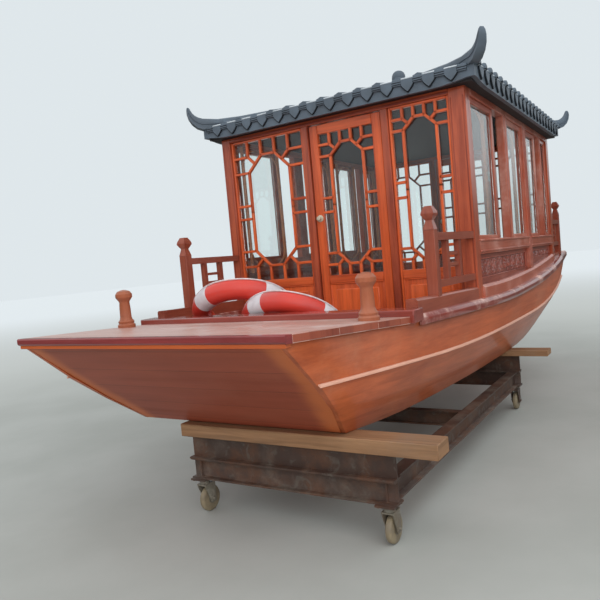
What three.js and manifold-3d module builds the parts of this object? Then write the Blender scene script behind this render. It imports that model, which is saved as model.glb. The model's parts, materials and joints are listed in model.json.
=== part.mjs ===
// Painted wooden pleasure boat with a tiled cabin roof, parked on its wheeled steel trolley.
// Millimetres. +X is the bow, +Y is port, +Z is up.
import * as THREE from 'three';
import { mergeVertices } from 'three/addons/utils/BufferGeometryUtils.js';
import Module from 'manifold-3d';

const wasm = await Module();
wasm.setup();

// Driving dimensions. Boat heights are measured from DATUM_Z, cabin lengths from the front wall.
const GAP = 0.3;
const BOAT_FORWARD = 829;
const DATUM_Z = 685;
const PLANK = 26;
const BOTTOM_PLANK = 30;
const DECK_PLANK = 36;
const LAP_LEDGE = 12;
const STATION_COUNT = 18;

const COAMING = { aft: 960, fore: 1100, height: 70, halfWidth: 975 };
const DECK_FRONT = 2090;
const STERN_DECK_FORE = -3300;
const DECK_AFT = -3748;
const SOLE = { top: 40, thickness: 22, halfWidth: 780, fore: 955, aft: -2874 };
const AFT_SOLE = { top: 135, aft: -3290, halfWidth: 740 };
const GUNWALE_WIDTH = 118;
const END_BOARD_CAP = 5;

const CABIN = { length: 2850, halfWidth: 1000, wall: 70, top: 1757, head: 1720, sill: 765 };
const LOWER_PANEL_TOP = 575;
const PORT_CORNER_POST = 114;
const STARBOARD_CORNER_POST = 83;
const CORNER_POST_DEPTH = 100;
const DOOR = { starboard: -190, port: 401, clearance: 6, thickness: 40, stile: 70, knob: 1030 };
const STARBOARD_LATTICE = { from: -917, to: -243 };
const PORT_LATTICE = { from: 455, to: 886 };
const LATTICE_STILE = 18;
const LEAF_FACE_INSET = 15;
const LATTICE_BAR = 20;
const LATTICE_DEPTH = 24;
const GLASS = 5;

const ROOF = {
  fore: 95, aft: -2945, halfWidth: 1095, eaveTop: 1855, middleTop: 1958, ridgeTop: 2095,
  ridgeFore: -950, ridgeAft: -1900, ridgeHalf: 8, fascia: 30,
};
const CEILING_THICKNESS = 18;
const FASCIA_LOW = 1753;
const FASCIA_CORNER = 1786;
const FASCIA_RISE_LENGTH = 300;

const TROLLEY = { near: 1380, far: -1250, centreY: 300, halfTrack: 585 };
const WHEEL = { radius: 75, bore: 8, trail: 32 };
const BEAM = { height: 120, width: 74, web: 8, flange: 10 };
const RAIL_BOTTOM = 212;
const CROSS_TOP = 468;
const TIMBER = { width: 150, starboard: -660, port: 880 };

// Longitudinal lines of the hull. Columns: x, value.
const SHEER_Z = [[2090, 452], [1500, 420], [1100, 396], [300, 380], [-700, 366], [-1700, 398],
  [-2400, 450], [-2850, 495], [-3750, 575]];
const SHEER_Y = [[2090, 845], [1500, 912], [1000, 962], [0, 1040], [-1500, 1062], [-2850, 1050],
  [-3750, 985]];
const LAP_Z = [[1830, 197], [1270, 166], [400, 126], [-1000, 112], [-2040, 124], [-2720, 184],
  [-3540, 300]];
const CREASE_Z = [[1620, 30], [900, 12], [-200, 0], [-1500, 0], [-2500, 62], [-3430, 172]];
const BOTTOM_Z = [[1404, -137], [1000, -160], [300, -165], [-1500, -165], [-2000, -128],
  [-2700, -42], [-3340, 60]];
const BOTTOM_Y = [[1404, 695], [600, 790], [-300, 850], [-1800, 872], [-3340, 840]];

// Ends of those lines on the bow ramp and on the transom.
const BOW_X = { sheer: 2080, lap: 1826, crease: 1620, bottom: 1404 };
const STERN_X = { sheer: -3742, lap: -3545, crease: -3436, bottom: -3340 };

const paint = (color, roughness, metalness = 0) =>
  new THREE.MeshStandardMaterial({ color, roughness, metalness });
const MATERIAL = {
  hull: paint(0xa8552e, 0.42),
  ramp: paint(0x6f3f30, 0.55),
  deck: paint(0xa67a74, 0.4),
  trim: paint(0x8a2f22, 0.42),
  joinery: paint(0xb8492a, 0.38),
  leaf: paint(0xc65a2a, 0.36),
  tile: paint(0x5b6a72, 0.6),
  ceiling: paint(0x3d3434, 0.8),
  glass: new THREE.MeshStandardMaterial({
    color: 0xb9cccb, roughness: 0.05, metalness: 0, transparent: true, opacity: 0.35,
  }),
  lifeRing: paint(0xe8432e, 0.45),
  steel: paint(0x5c3527, 0.75, 0.3),
  timber: paint(0xa6764a, 0.8),
  wheel: paint(0xc9bb97, 0.6),
};

// Smooth value of a two-column table at x, by a cubic through its rows.
function along(table, x) {
  const rows = table[0][0] < table[1][0] ? table : [...table].reverse();
  const at = Math.min(Math.max(x, rows[0][0]), rows[rows.length - 1][0]);
  let i = 0;
  while (i < rows.length - 2 && at > rows[i + 1][0]) i += 1;
  const slope = (k) => {
    const a = rows[Math.max(k - 1, 0)];
    const b = rows[Math.min(k + 1, rows.length - 1)];
    return (b[1] - a[1]) / (b[0] - a[0]);
  };
  const span = rows[i + 1][0] - rows[i][0];
  const t = (at - rows[i][0]) / span;
  const ease = t * t * (3 - 2 * t);
  const leave = t * (1 - t) * (1 - t);
  const arrive = t * t * (t - 1);
  return rows[i][1] * (1 - ease) + rows[i + 1][1] * ease
    + span * (slope(i) * leave + slope(i + 1) * arrive);
}

// Every long piece bends at the same stations, so that neighbours follow one polyline.
const lineX = (line, t) => BOW_X[line] + (STERN_X[line] - BOW_X[line]) * t;
const stations = Array.from({ length: STATION_COUNT + 1 }, (_, i) => i / STATION_COUNT);
function sampled(table, line) {
  const rows = stations.map((t) => [lineX(line, t), along(table, lineX(line, t))]);
  return (x) => {
    let i = 0;
    while (i < rows.length - 2 && x < rows[i + 1][0]) i += 1;
    const [x0, v0] = rows[i];
    const [x1, v1] = rows[i + 1];
    return v0 + ((v1 - v0) * (x - x0)) / (x1 - x0);
  };
}
const sheerZ = sampled(SHEER_Z, 'sheer');
const sheerY = sampled(SHEER_Y, 'sheer');
const bottomZ = sampled(BOTTOM_Z, 'bottom');
const bends = (line, fore, aft) => [fore,
  ...stations.map((t) => lineX(line, t)).filter((x) => x < fore - 1 && x > aft + 1), aft];

// Geometry from loose triangles given as corner points.
function fromTriangles(corners) {
  const geometry = new THREE.BufferGeometry();
  geometry.setAttribute('position', new THREE.Float32BufferAttribute(corners.flat(), 3));
  return geometry;
}

function slab(x0, x1, y0, y1, z0, z1) {
  const geometry = new THREE.BoxGeometry(Math.abs(x1 - x0), Math.abs(y1 - y0), Math.abs(z1 - z0));
  return geometry.translate((x0 + x1) / 2, (y0 + y1) / 2, (z0 + z1) / 2);
}

// Solid through a row of closed sections with equal point counts, capped at both ends.
function loft(sections, capAxes = [1, 2]) {
  const corners = [];
  const count = sections[0].length;
  for (let s = 0; s + 1 < sections.length; s += 1) {
    for (let k = 0; k < count; k += 1) {
      const a = sections[s][k];
      const b = sections[s][(k + 1) % count];
      const c = sections[s + 1][(k + 1) % count];
      const d = sections[s + 1][k];
      corners.push(a, b, c, a, c, d);
    }
  }
  const flat = (section) => section.map((p) => new THREE.Vector2(p[capAxes[0]], p[capAxes[1]]));
  const first = sections[0];
  const last = sections[sections.length - 1];
  const turned = THREE.ShapeUtils.area(flat(first)) > 0;
  const cap = (section, keep) => {
    for (const [i, j, k] of THREE.ShapeUtils.triangulateShape(flat(section), [])) {
      const order = keep ? [i, j, k] : [k, j, i];
      corners.push(...order.map((n) => section[n]));
    }
  };
  cap(first, !turned);
  cap(last, turned);
  const solid = fromTriangles(corners);
  return signedVolume(solid) < 0 ? insideOut(solid) : solid;
}

function signedVolume(geometry) {
  const position = geometry.getAttribute('position');
  const a = new THREE.Vector3();
  const b = new THREE.Vector3();
  const c = new THREE.Vector3();
  let volume = 0;
  for (let i = 0; i < position.count; i += 3) {
    a.fromBufferAttribute(position, i);
    b.fromBufferAttribute(position, i + 1);
    c.fromBufferAttribute(position, i + 2);
    volume += a.dot(b.cross(c)) / 6;
  }
  return volume;
}

function insideOut(geometry) {
  const loose = geometry.index ? geometry.toNonIndexed() : geometry;
  const source = loose.getAttribute('position');
  const corners = [];
  for (let i = 0; i < source.count; i += 3) {
    for (const k of [i, i + 2, i + 1]) {
      corners.push([source.getX(k), source.getY(k), source.getZ(k)]);
    }
  }
  return fromTriangles(corners);
}

// The same piece on the other side of the boat.
const mirrored = (geometry) => insideOut(geometry.clone().scale(1, -1, 1));

// Outline of [u, z] points pushed along an axis: along 'x', u is y, and along 'y', u is x.
function prism(outline, axis, from, to) {
  const place = { x: (u, z, w) => [w, u, z], y: (u, z, w) => [u, w, z] }[axis];
  const capAxes = { x: [1, 2], y: [0, 2] }[axis];
  const section = (w) => outline.map(([u, v]) => place(u, v, w));
  return loft([section(from), section(to)], capAxes);
}

function toSolid(geometry) {
  const bare = geometry.clone();
  bare.deleteAttribute('normal');
  bare.deleteAttribute('uv');
  const merged = mergeVertices(bare, 1e-4);
  return new wasm.Manifold(new wasm.Mesh({
    numProp: 3,
    vertProperties: new Float32Array(merged.getAttribute('position').array),
    triVerts: new Uint32Array(merged.index.array),
  }));
}

function toGeometry(solid) {
  const mesh = solid.asOriginal().simplify(0.01).getMesh();
  const geometry = new THREE.BufferGeometry();
  geometry.setAttribute('position', new THREE.Float32BufferAttribute(mesh.vertProperties, 3));
  geometry.setIndex(Array.from(mesh.triVerts));
  return geometry;
}

const joinSolids = (pieces) => pieces.map(toSolid).reduce((whole, next) => whole.add(next));
const join = (pieces) => toGeometry(joinSolids(pieces));
const cut = (piece, tools) => toGeometry(
  tools.map(toSolid).reduce((left, tool) => left.subtract(tool), toSolid(piece)),
);

const object = new THREE.Group();
const boat = new THREE.Group();
boat.position.set(BOAT_FORWARD, 0, DATUM_Z);
const trolley = new THREE.Group();
trolley.position.set(BOAT_FORWARD, TROLLEY.centreY, 0);
object.add(boat, trolley);

function add(parent, name, geometry, material) {
  const mesh = new THREE.Mesh(geometry, material);
  mesh.name = name;
  parent.add(mesh);
  return mesh;
}

function addBothSides(name, portGeometry, material) {
  add(boat, `${name}_port`, portGeometry, material);
  add(boat, `${name}_starboard`, mirrored(portGeometry), material);
}

// Hull planking: each longitudinal line runs from its own bow end to its own stern end.
function sidePoints(t) {
  const x = { sheer: lineX('sheer', t), lap: lineX('lap', t), crease: lineX('crease', t) };
  const bottomX = lineX('bottom', t);
  const topY = sheerY(x.sheer) - 20;
  const lapY = sheerY(x.lap) - 62;
  const bottomY = along(BOTTOM_Y, bottomX);
  const creaseY = bottomY + (lapY + LAP_LEDGE - bottomY) * 0.62;
  return {
    sheer: [x.sheer, topY, sheerZ(x.sheer) - DECK_PLANK - GAP],
    lapTop: [x.lap, lapY, along(LAP_Z, x.lap)],
    lapOut: [x.lap, lapY + LAP_LEDGE, along(LAP_Z, x.lap)],
    crease: [x.crease, creaseY, along(CREASE_Z, x.crease)],
    bottom: [bottomX, bottomY, along(BOTTOM_Z, bottomX)],
  };
}
const inward = ([x, y, z], distance) => [x, y - distance, z];

function sidePlanking() {
  return loft(stations.map((t) => {
    const p = sidePoints(t);
    return [p.sheer, p.lapTop, p.lapOut, p.crease, p.bottom,
      inward(p.bottom, PLANK), inward(p.crease, PLANK), inward(p.lapTop, PLANK),
      inward(p.sheer, PLANK)];
  }));
}

function bottomPlanking() {
  const last = stations.length - 1;
  return loft(stations.map((t, i) => {
    const [x, y, z] = sidePoints(t).bottom;
    const half = y - PLANK - GAP;
    const bottomX = i === 0 ? x - 2 * GAP : i === last ? x + 2 * GAP : x;
    const topX = i === 0 ? x - 30 : i === last ? x + 38 : x;
    return [[bottomX, half, z], [topX, half, z + BOTTOM_PLANK],
      [topX, -half, z + BOTTOM_PLANK], [bottomX, -half, z]];
  }));
}

// Board across the boat between the side planks, from a low edge to a high edge in the XZ plane.
function endBoard(t, inset) {
  const p = sidePoints(t);
  const low = p.bottom;
  const high = p.sheer;
  const length = Math.hypot(high[0] - low[0], high[2] - low[2]);
  const slope = [(high[0] - low[0]) / length, (high[2] - low[2]) / length];
  const side = t === 0 ? -1 : 1;
  const inner = [Math.abs(slope[1]) * side * inset, Math.abs(slope[0]) * inset];
  const section = (fraction) => {
    const x = low[0] + (high[0] - low[0]) * fraction;
    const z = low[2] + (high[2] - low[2]) * fraction;
    const half = edgeHalfWidth(p, z) - PLANK - GAP;
    return [[x, half, z], [x + inner[0], half, z + inner[1]],
      [x + inner[0], -half, z + inner[1]], [x, -half, z]];
  };
  const top = 1 - (inner[1] + END_BOARD_CAP) / (high[2] - low[2]);
  return loft([section(0), section(0.32), section(0.6), section(top)]);
}

// Half width of the side plank's end edge at a height.
function edgeHalfWidth(p, z) {
  const edge = [p.bottom, p.crease, p.lapTop, p.sheer];
  for (let i = 0; i + 1 < edge.length; i += 1) {
    if (z <= edge[i + 1][2]) {
      const f = (z - edge[i][2]) / (edge[i + 1][2] - edge[i][2]);
      return edge[i][1] + (edge[i + 1][1] - edge[i][1]) * Math.max(f, 0);
    }
  }
  return p.sheer[1];
}

addBothSides('side_planking', sidePlanking(), MATERIAL.hull);
add(boat, 'bottom_planking', bottomPlanking(), MATERIAL.hull);
add(boat, 'bow_ramp', endBoard(0, 24), MATERIAL.ramp);
add(boat, 'transom', endBoard(1, 28), MATERIAL.hull);

// Gunwale: wash board lying on the side planks, its outer edge chamfered above, with a rubbing
// strip hung under it.
const RUBBING = { chamfer: 16, chamferDrop: 20, drop: 58 };
function gunwale() {
  return loft(bends('sheer', COAMING.aft - GAP, DECK_AFT).map((x) => {
    const outer = sheerY(x);
    const top = sheerZ(x);
    return [[x, outer - RUBBING.chamfer, top], [x, outer, top - RUBBING.chamferDrop],
      [x, outer, top - RUBBING.drop], [x, outer - 19, top - RUBBING.drop],
      [x, outer - 19, top - DECK_PLANK], [x, outer - GUNWALE_WIDTH, top - DECK_PLANK],
      [x, outer - GUNWALE_WIDTH, top]];
  }));
}

// Deck of crosswise planks that lies on the planking.
function deck(fore, aft, halfWidth) {
  return loft(bends('sheer', fore, aft).map((x) => {
    const half = halfWidth(x);
    const top = sheerZ(x);
    return [[x, half, top], [x, half, top - DECK_PLANK], [x, -half, top - DECK_PLANK],
      [x, -half, top]];
  }));
}

function coamingBeam() {
  const bottom = sheerZ(COAMING.fore) - DECK_PLANK;
  return slab(COAMING.aft, COAMING.fore - GAP, -COAMING.halfWidth, COAMING.halfWidth,
    bottom, bottom + COAMING.height);
}

addBothSides('gunwale', gunwale(), MATERIAL.trim);
add(boat, 'foredeck', deck(DECK_FRONT, COAMING.fore, sheerY), MATERIAL.deck);
add(boat, 'coaming_beam', coamingBeam(), MATERIAL.trim);
const insideGunwale = (x) => sheerY(x) - GUNWALE_WIDTH - GAP;
add(boat, 'stern_deck', deck(STERN_DECK_FORE, DECK_AFT, insideGunwale), MATERIAL.deck);

// Built-in benches along both sides of the cabin, standing on the sole.
const BENCH = { fore: -780, aft: -2200, depth: 360, seat: 440, board: 34, outer: 905 };
function bench() {
  const inner = BENCH.outer - BENCH.depth;
  const under = BENCH.seat - BENCH.board + 5;
  const pieces = [slab(BENCH.aft, BENCH.fore, inner, BENCH.outer, BENCH.seat - BENCH.board, BENCH.seat)];
  for (const x of [BENCH.aft + 60, (BENCH.aft + BENCH.fore) / 2, BENCH.fore - 60]) {
    pieces.push(slab(x - 20, x + 20, inner + 30, 770, SOLE.top - 5, under));
  }
  pieces.push(slab(BENCH.aft + 20, BENCH.fore - 20, inner + 30, inner + 52, SOLE.top - 5, under));
  return join(pieces);
}

// Sole boards on cross bearers that stand on the bottom planks. Columns of BEARERS: x, top.
const BEARERS = [[900, 18], [450, 18], [-40, 18], [-700, 18], [-1400, 18], [-2100, 18],
  [-2650, 18], [-3040, 115]];
function soleBoards() {
  const { top, thickness, halfWidth, fore, aft } = SOLE;
  const pieces = [
    slab(aft, fore, -halfWidth, halfWidth, top - thickness, top),
    slab(AFT_SOLE.aft, aft + 10, -AFT_SOLE.halfWidth, AFT_SOLE.halfWidth,
      AFT_SOLE.top - thickness, AFT_SOLE.top),
    slab(aft, -CABIN.length - 2 * GAP, -AFT_SOLE.halfWidth, AFT_SOLE.halfWidth,
      top - thickness, AFT_SOLE.top),
  ];
  for (const [x, bearerTop] of BEARERS) {
    const foot = Math.max(bottomZ(x - 20), bottomZ(x + 20)) + BOTTOM_PLANK + GAP;
    if (foot < bearerTop) {
      pieces.push(slab(x - 20, x + 20, -640, 640, foot, bearerTop + 5));
    }
  }
  return join([...pieces, bench(), mirrored(bench())]);
}
add(boat, 'sole_and_benches', soleBoards(), MATERIAL.trim);

// Turned mooring bollards on the foredeck. Columns of BOLLARD_PROFILE: radius, height.
const BOLLARD = { x: 1340, y: 840, foot: 54 };
const BOLLARD_PROFILE = [[0, 0], [BOLLARD.foot, 0], [BOLLARD.foot, 20], [46, 30], [49, 42], [39, 54],
  [34, 120], [31, 160], [40, 176], [51, 194], [51, 214], [38, 230], [0, 240]];
function bollard(side) {
  const profile = BOLLARD_PROFILE.map(([r, z]) => new THREE.Vector2(r, z));
  const turned = new THREE.LatheGeometry(profile, 12).rotateX(Math.PI / 2);
  return turned.translate(BOLLARD.x, side * BOLLARD.y, sheerZ(BOLLARD.x - BOLLARD.foot) + 3);
}
function seatedBollard(side) {
  const bed = deck(DECK_FRONT, COAMING.fore, sheerY).translate(0, 0, GAP);
  const turned = bollard(side).translate(0, 0, -6);
  return cut(turned, [bed]);
}
add(boat, 'bollard_port', seatedBollard(1), MATERIAL.hull);
add(boat, 'bollard_starboard', seatedBollard(-1), MATERIAL.hull);

// Board that follows the sheer on the gunwale: a ledge along the cabin, a kerb under a railing.
const LEDGE = { height: 88, chamfer: 18 };
function followSheer(fore, aft, y0, y1, low, high, chamfer = 0) {
  return loft(bends('sheer', fore, aft).map((x) => {
    const z = sheerZ(x);
    const edge = chamfer ? [[x, y1 - chamfer, z + high], [x, y1, z + high - chamfer]]
      : [[x, y1, z + high]];
    return [[x, y1, z + low], [x, y0, z + low], [x, y0, z + high], ...edge];
  }));
}

// Railing: a newel post with a faceted head, two rails to the cabin corner and balusters.
// Columns of NEWEL_HEAD: half width, height above the post's shoulder.
const NEWEL = { half: 32, height: 453 };
const NEWEL_HEAD = [[32, 0], [20, 46], [20, 52], [38, 86], [34, 104], [20, 133]];
function newel(x, y, bottom) {
  const square = (half, z) => [[x - half, y - half, z], [x + half, y - half, z],
    [x + half, y + half, z], [x - half, y + half, z]];
  const shoulder = bottom + NEWEL.height;
  const sections = [square(NEWEL.half, bottom - 30)];
  for (const [half, above] of NEWEL_HEAD) sections.push(square(half, shoulder + above));
  return loft(sections, [0, 1]);
}

// Solid below the top of the gunwale and decks, used to fit the feet of what stands on them.
function belowSheer(lift) {
  return loft(bends('sheer', COAMING.aft, DECK_AFT).map((x) => {
    const top = sheerZ(x) + lift;
    return [[x, 1300, top], [x, 1300, -400], [x, -1300, -400], [x, -1300, top]];
  }));
}

// Railings run from the cabin corner at wallY to the newel at newelY.
const BOW_RAILING = {
  newelX: 640, newelY: 930, wallX: GAP, wallY: 965, railTop: 820, lowRailTop: 545,
  kerb: { end: COAMING.aft - GAP, height: 80, half: 34, chamfer: 10 },
};
const STERN_RAILING = {
  newelX: -3370, newelY: 950, wallX: -CABIN.length - GAP, wallY: 950, railTop: 925, lowRailTop: 690,
  kerb: { end: -3370, height: 40, half: 22, chamfer: 0 },
};
function railing({ newelX, newelY, wallX, wallY, railTop, lowRailTop, kerb }) {
  const foot = sheerZ(newelX);
  const ends = [Math.min(newelX, wallX), Math.max(newelX, wallX)];
  const pieces = [newel(newelX, wallY, foot)];
  pieces.push(slab(ends[0], ends[1], wallY - 28, wallY + 28, railTop - 45, railTop));
  pieces.push(slab(ends[0], ends[1], wallY - 22, wallY + 22, lowRailTop - 40, lowRailTop));
  const balusters = [0.32, 0.63];
  for (const f of balusters) {
    const x = newelX + (wallX - newelX) * f;
    pieces.push(slab(x - 20, x + 20, wallY - 16, wallY + 16, lowRailTop - 10, railTop - 10));
  }
  const first = newelX + (wallX - newelX) * balusters[0];
  const second = newelX + (wallX - newelX) * balusters[1];
  for (const f of [0.36, 0.64]) {
    const z = lowRailTop + (railTop - 45 - lowRailTop) * f;
    pieces.push(slab(Math.min(first, second), Math.max(first, second), wallY - 10, wallY + 10,
      z - 10, z + 10));
  }
  const stood = cut(join(pieces), [belowSheer(GAP)]);
  const board = followSheer(Math.max(kerb.end, wallX), Math.min(kerb.end, wallX),
    wallY - kerb.half, wallY + kerb.half, GAP, kerb.height, kerb.chamfer);
  const skew = (newelY - wallY) / (newelX - wallX);
  const skewed = new THREE.Matrix4().set(
    1, 0, 0, 0,
    skew, 1, 0, -skew * wallX,
    0, 0, 1, 0,
    0, 0, 0, 1,
  );
  return join([stood, board]).applyMatrix4(skewed);
}
addBothSides('railing_bow', railing(BOW_RAILING), MATERIAL.joinery);
addBothSides('railing_stern', railing(STERN_RAILING), MATERIAL.joinery);

// Cabin end walls. wallX is the outer face, inwards is -1 for the front wall and 1 for the rear.
const PORT_POST_INNER = CABIN.halfWidth - PORT_CORNER_POST;
const STARBOARD_POST_INNER = -CABIN.halfWidth + STARBOARD_CORNER_POST;
const MULLIONS = [[STARBOARD_LATTICE.to, DOOR.starboard], [DOOR.port, PORT_LATTICE.from]];
function endFrame(wallX, inwards, doorSill) {
  const deep = wallX + inwards * CABIN.wall;
  const post = wallX + inwards * CORNER_POST_DEPTH;
  const pieces = [
    slab(wallX, post, PORT_POST_INNER, CABIN.halfWidth, 300, CABIN.top),
    slab(wallX, post, -CABIN.halfWidth, STARBOARD_POST_INNER, 300, CABIN.top),
    slab(wallX, deep, STARBOARD_POST_INNER - 5, PORT_POST_INNER + 5, CABIN.head, CABIN.top),
    slab(wallX, deep, -SOLE.halfWidth, SOLE.halfWidth, SOLE.top + GAP, doorSill),
  ];
  for (const [from, to] of MULLIONS) {
    pieces.push(slab(wallX, deep, from, to, doorSill - 5, CABIN.head + 5));
  }
  const posts = join(pieces.slice(0, 2));
  const trimmed = cut(posts, [belowSheer(GAP)]);
  return join([trimmed, ...pieces.slice(2)]);
}

// Hinges on the door's port edge: frame knuckles above and below each leaf knuckle.
const HINGE = { radius: 8, leafHalf: 28, frameHalf: 52, gap: 0.5, heights: [330, 1450] };
const hingeAxis = (wallX, inwards) => [wallX + inwards * (CABIN.wall + HINGE.radius + 1),
  DOOR.port - 1];
function knuckle(centreX, y, z0, z1) {
  const pin = new THREE.CylinderGeometry(HINGE.radius, HINGE.radius, z1 - z0, 12);
  return pin.rotateX(Math.PI / 2).translate(centreX, y, (z0 + z1) / 2);
}
function frameKnuckles(wallX, inwards) {
  const [x, y] = hingeAxis(wallX, inwards);
  const pieces = [];
  for (const z of HINGE.heights) {
    for (const [z0, z1] of [[z - HINGE.frameHalf, z - HINGE.leafHalf - HINGE.gap],
      [z + HINGE.leafHalf + HINGE.gap, z + HINGE.frameHalf]]) {
      pieces.push(knuckle(x, y, z0, z1));
      pieces.push(slab(x, x - inwards * 15, y + 2, y + 12, z0, z1));
    }
  }
  return pieces;
}
function leafKnuckles(wallX, inwards) {
  const [x, y] = hingeAxis(wallX, inwards);
  const face = wallX + inwards * (LEAF_FACE_INSET + DOOR.thickness);
  const pieces = [];
  for (const z of HINGE.heights) {
    pieces.push(knuckle(x, y, z - HINGE.leafHalf, z + HINGE.leafHalf));
    pieces.push(slab(face - inwards * 6, x, y - 26, y - 4, z - HINGE.leafHalf, z + HINGE.leafHalf));
  }
  return pieces;
}

// Bar of the lattice between two [y, z] points, lying between the planes x0 and x1.
function bar(from, to, x0, x1) {
  const length = Math.hypot(to[0] - from[0], to[1] - from[1]);
  const ny = (-(to[1] - from[1]) / length) * (LATTICE_BAR / 2);
  const nz = ((to[0] - from[0]) / length) * (LATTICE_BAR / 2);
  const uy = ((to[0] - from[0]) / length) * 4;
  const uz = ((to[1] - from[1]) / length) * 4;
  return prism([[from[0] - uy + ny, from[1] - uz + nz], [from[0] - uy - ny, from[1] - uz - nz],
    [to[0] + uy - ny, to[1] + uz - nz], [to[0] + uy + ny, to[1] + uz + nz]], 'x', x0, x1);
}

// Elongated octagon lattice in a field of y0..y1, z0..z1: five cells along its top and bottom.
// Depths of the squares and of the octagon's shoulders are in cells, half the strut pair in mm.
const OCTAGON = { square: 0.9, shoulder: 1.87, strutPair: 52 };
function latticeBars(y0, y1, z0, z1, x0, x1) {
  const cell = (y1 - y0) / 5;
  const middle = (z0 + z1) / 2;
  const halfHeight = (z1 - z0) / 2;
  const bars = [];
  for (const up of [-1, 1]) {
    const level = (cells) => middle + up * (halfHeight - cells * cell);
    bars.push([[y0 + 2 * cell, level(OCTAGON.square)], [y1 - 2 * cell, level(OCTAGON.square)]]);
    for (const [edge, toward] of [[y0, 1], [y1, -1]]) {
      const first = edge + toward * cell;
      const second = edge + toward * 2 * cell;
      const chamferMiddle = [(first + second) / 2, level((OCTAGON.square + OCTAGON.shoulder) / 2)];
      bars.push([[first, level(0)], [first, level(OCTAGON.square)]]);
      bars.push([[second, level(0)], [second, level(OCTAGON.square)]]);
      bars.push([[edge, level(OCTAGON.square)], [first, level(OCTAGON.square)]]);
      bars.push([[first, level(OCTAGON.square)], chamferMiddle]);
      bars.push([[second, level(OCTAGON.square)], [first, level(OCTAGON.shoulder)]]);
      bars.push([[edge, level(OCTAGON.shoulder)], [first, level(OCTAGON.shoulder)]]);
      bars.push([[edge, middle + up * OCTAGON.strutPair], [first, middle + up * OCTAGON.strutPair]]);
      bars.push([[first, middle - up * 5], [first, level(OCTAGON.shoulder)]]);
    }
  }
  return bars.map(([from, to]) => bar(from, to, x0, x1));
}

// A glazed leaf: stiles and rails, lattice above, raised panel below. Returns wood and glass.
function glazedLeaf(wallX, inwards, y0, y1, z0, z1, stile) {
  const outer = wallX + inwards * LEAF_FACE_INSET;
  const inner = outer + inwards * DOOR.thickness;
  const lockRail = { low: LOWER_PANEL_TOP - 35, high: LOWER_PANEL_TOP + 25 };
  const top = z1 - stile;
  const pieces = [
    slab(outer, inner, y0, y0 + stile, z0, z1),
    slab(outer, inner, y1 - stile, y1, z0, z1),
    slab(outer, inner, y0 + 5, y1 - 5, z1 - stile, z1),
    slab(outer, inner, y0 + 5, y1 - 5, lockRail.low, lockRail.high),
    slab(outer, inner, y0 + 5, y1 - 5, z0, z0 + 60),
  ];
  const panel0 = outer + inwards * 10;
  const panel1 = outer + inwards * 28;
  pieces.push(slab(panel0, panel1, y0 + stile - 5, y1 - stile + 5, z0 + 55, lockRail.low + 5));
  const raised = outer + inwards * 3;
  pieces.push(slab(raised, panel1, y0 + stile + 45, y1 - stile - 45, z0 + 105, lockRail.low - 45));
  const bars0 = outer + inwards * 3;
  const bars1 = bars0 + inwards * LATTICE_DEPTH;
  pieces.push(...latticeBars(y0 + stile, y1 - stile, lockRail.high, top, bars0, bars1));
  const glass0 = bars1 + inwards * GAP;
  const glass = slab(glass0, glass0 + inwards * GLASS, y0 + stile + GAP, y1 - stile - GAP,
    lockRail.high + GAP, top - GAP);
  return { wood: pieces, glass };
}

function addEndWall(end, wallX, inwards, doorSill) {
  add(boat, `${end}_frame`, join([endFrame(wallX, inwards, doorSill), ...frameKnuckles(wallX, inwards)]),
    MATERIAL.joinery);
  for (const [side, field] of [['starboard', STARBOARD_LATTICE], ['port', PORT_LATTICE]]) {
    const leaf = glazedLeaf(wallX, inwards, field.from + GAP, field.to - GAP, doorSill + GAP,
      CABIN.head - GAP, LATTICE_STILE);
    add(boat, `${end}_lattice_${side}`, join(leaf.wood), MATERIAL.leaf);
    add(boat, `${end}_glass_${side}`, leaf.glass, MATERIAL.glass);
  }
  const door = glazedLeaf(wallX, inwards, DOOR.starboard + DOOR.clearance, DOOR.port - DOOR.clearance,
    doorSill + DOOR.clearance, CABIN.head - DOOR.clearance, DOOR.stile);
  const knobX = wallX + inwards * (LEAF_FACE_INSET + DOOR.thickness / 2);
  const knob = new THREE.CylinderGeometry(16, 12, DOOR.thickness + 70, 12).rotateZ(Math.PI / 2)
    .translate(knobX, DOOR.starboard + DOOR.clearance + DOOR.stile / 2, DOOR.knob);
  add(boat, `${end}_door`, join([...door.wood, ...leafKnuckles(wallX, inwards), knob]), MATERIAL.leaf);
  add(boat, `${end}_door_glass`, door.glass, MATERIAL.glass);
}
addEndWall('front', 0, -1, SOLE.top + 12);
addEndWall('rear', -CABIN.length, 1, AFT_SOLE.top + 12);

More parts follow.
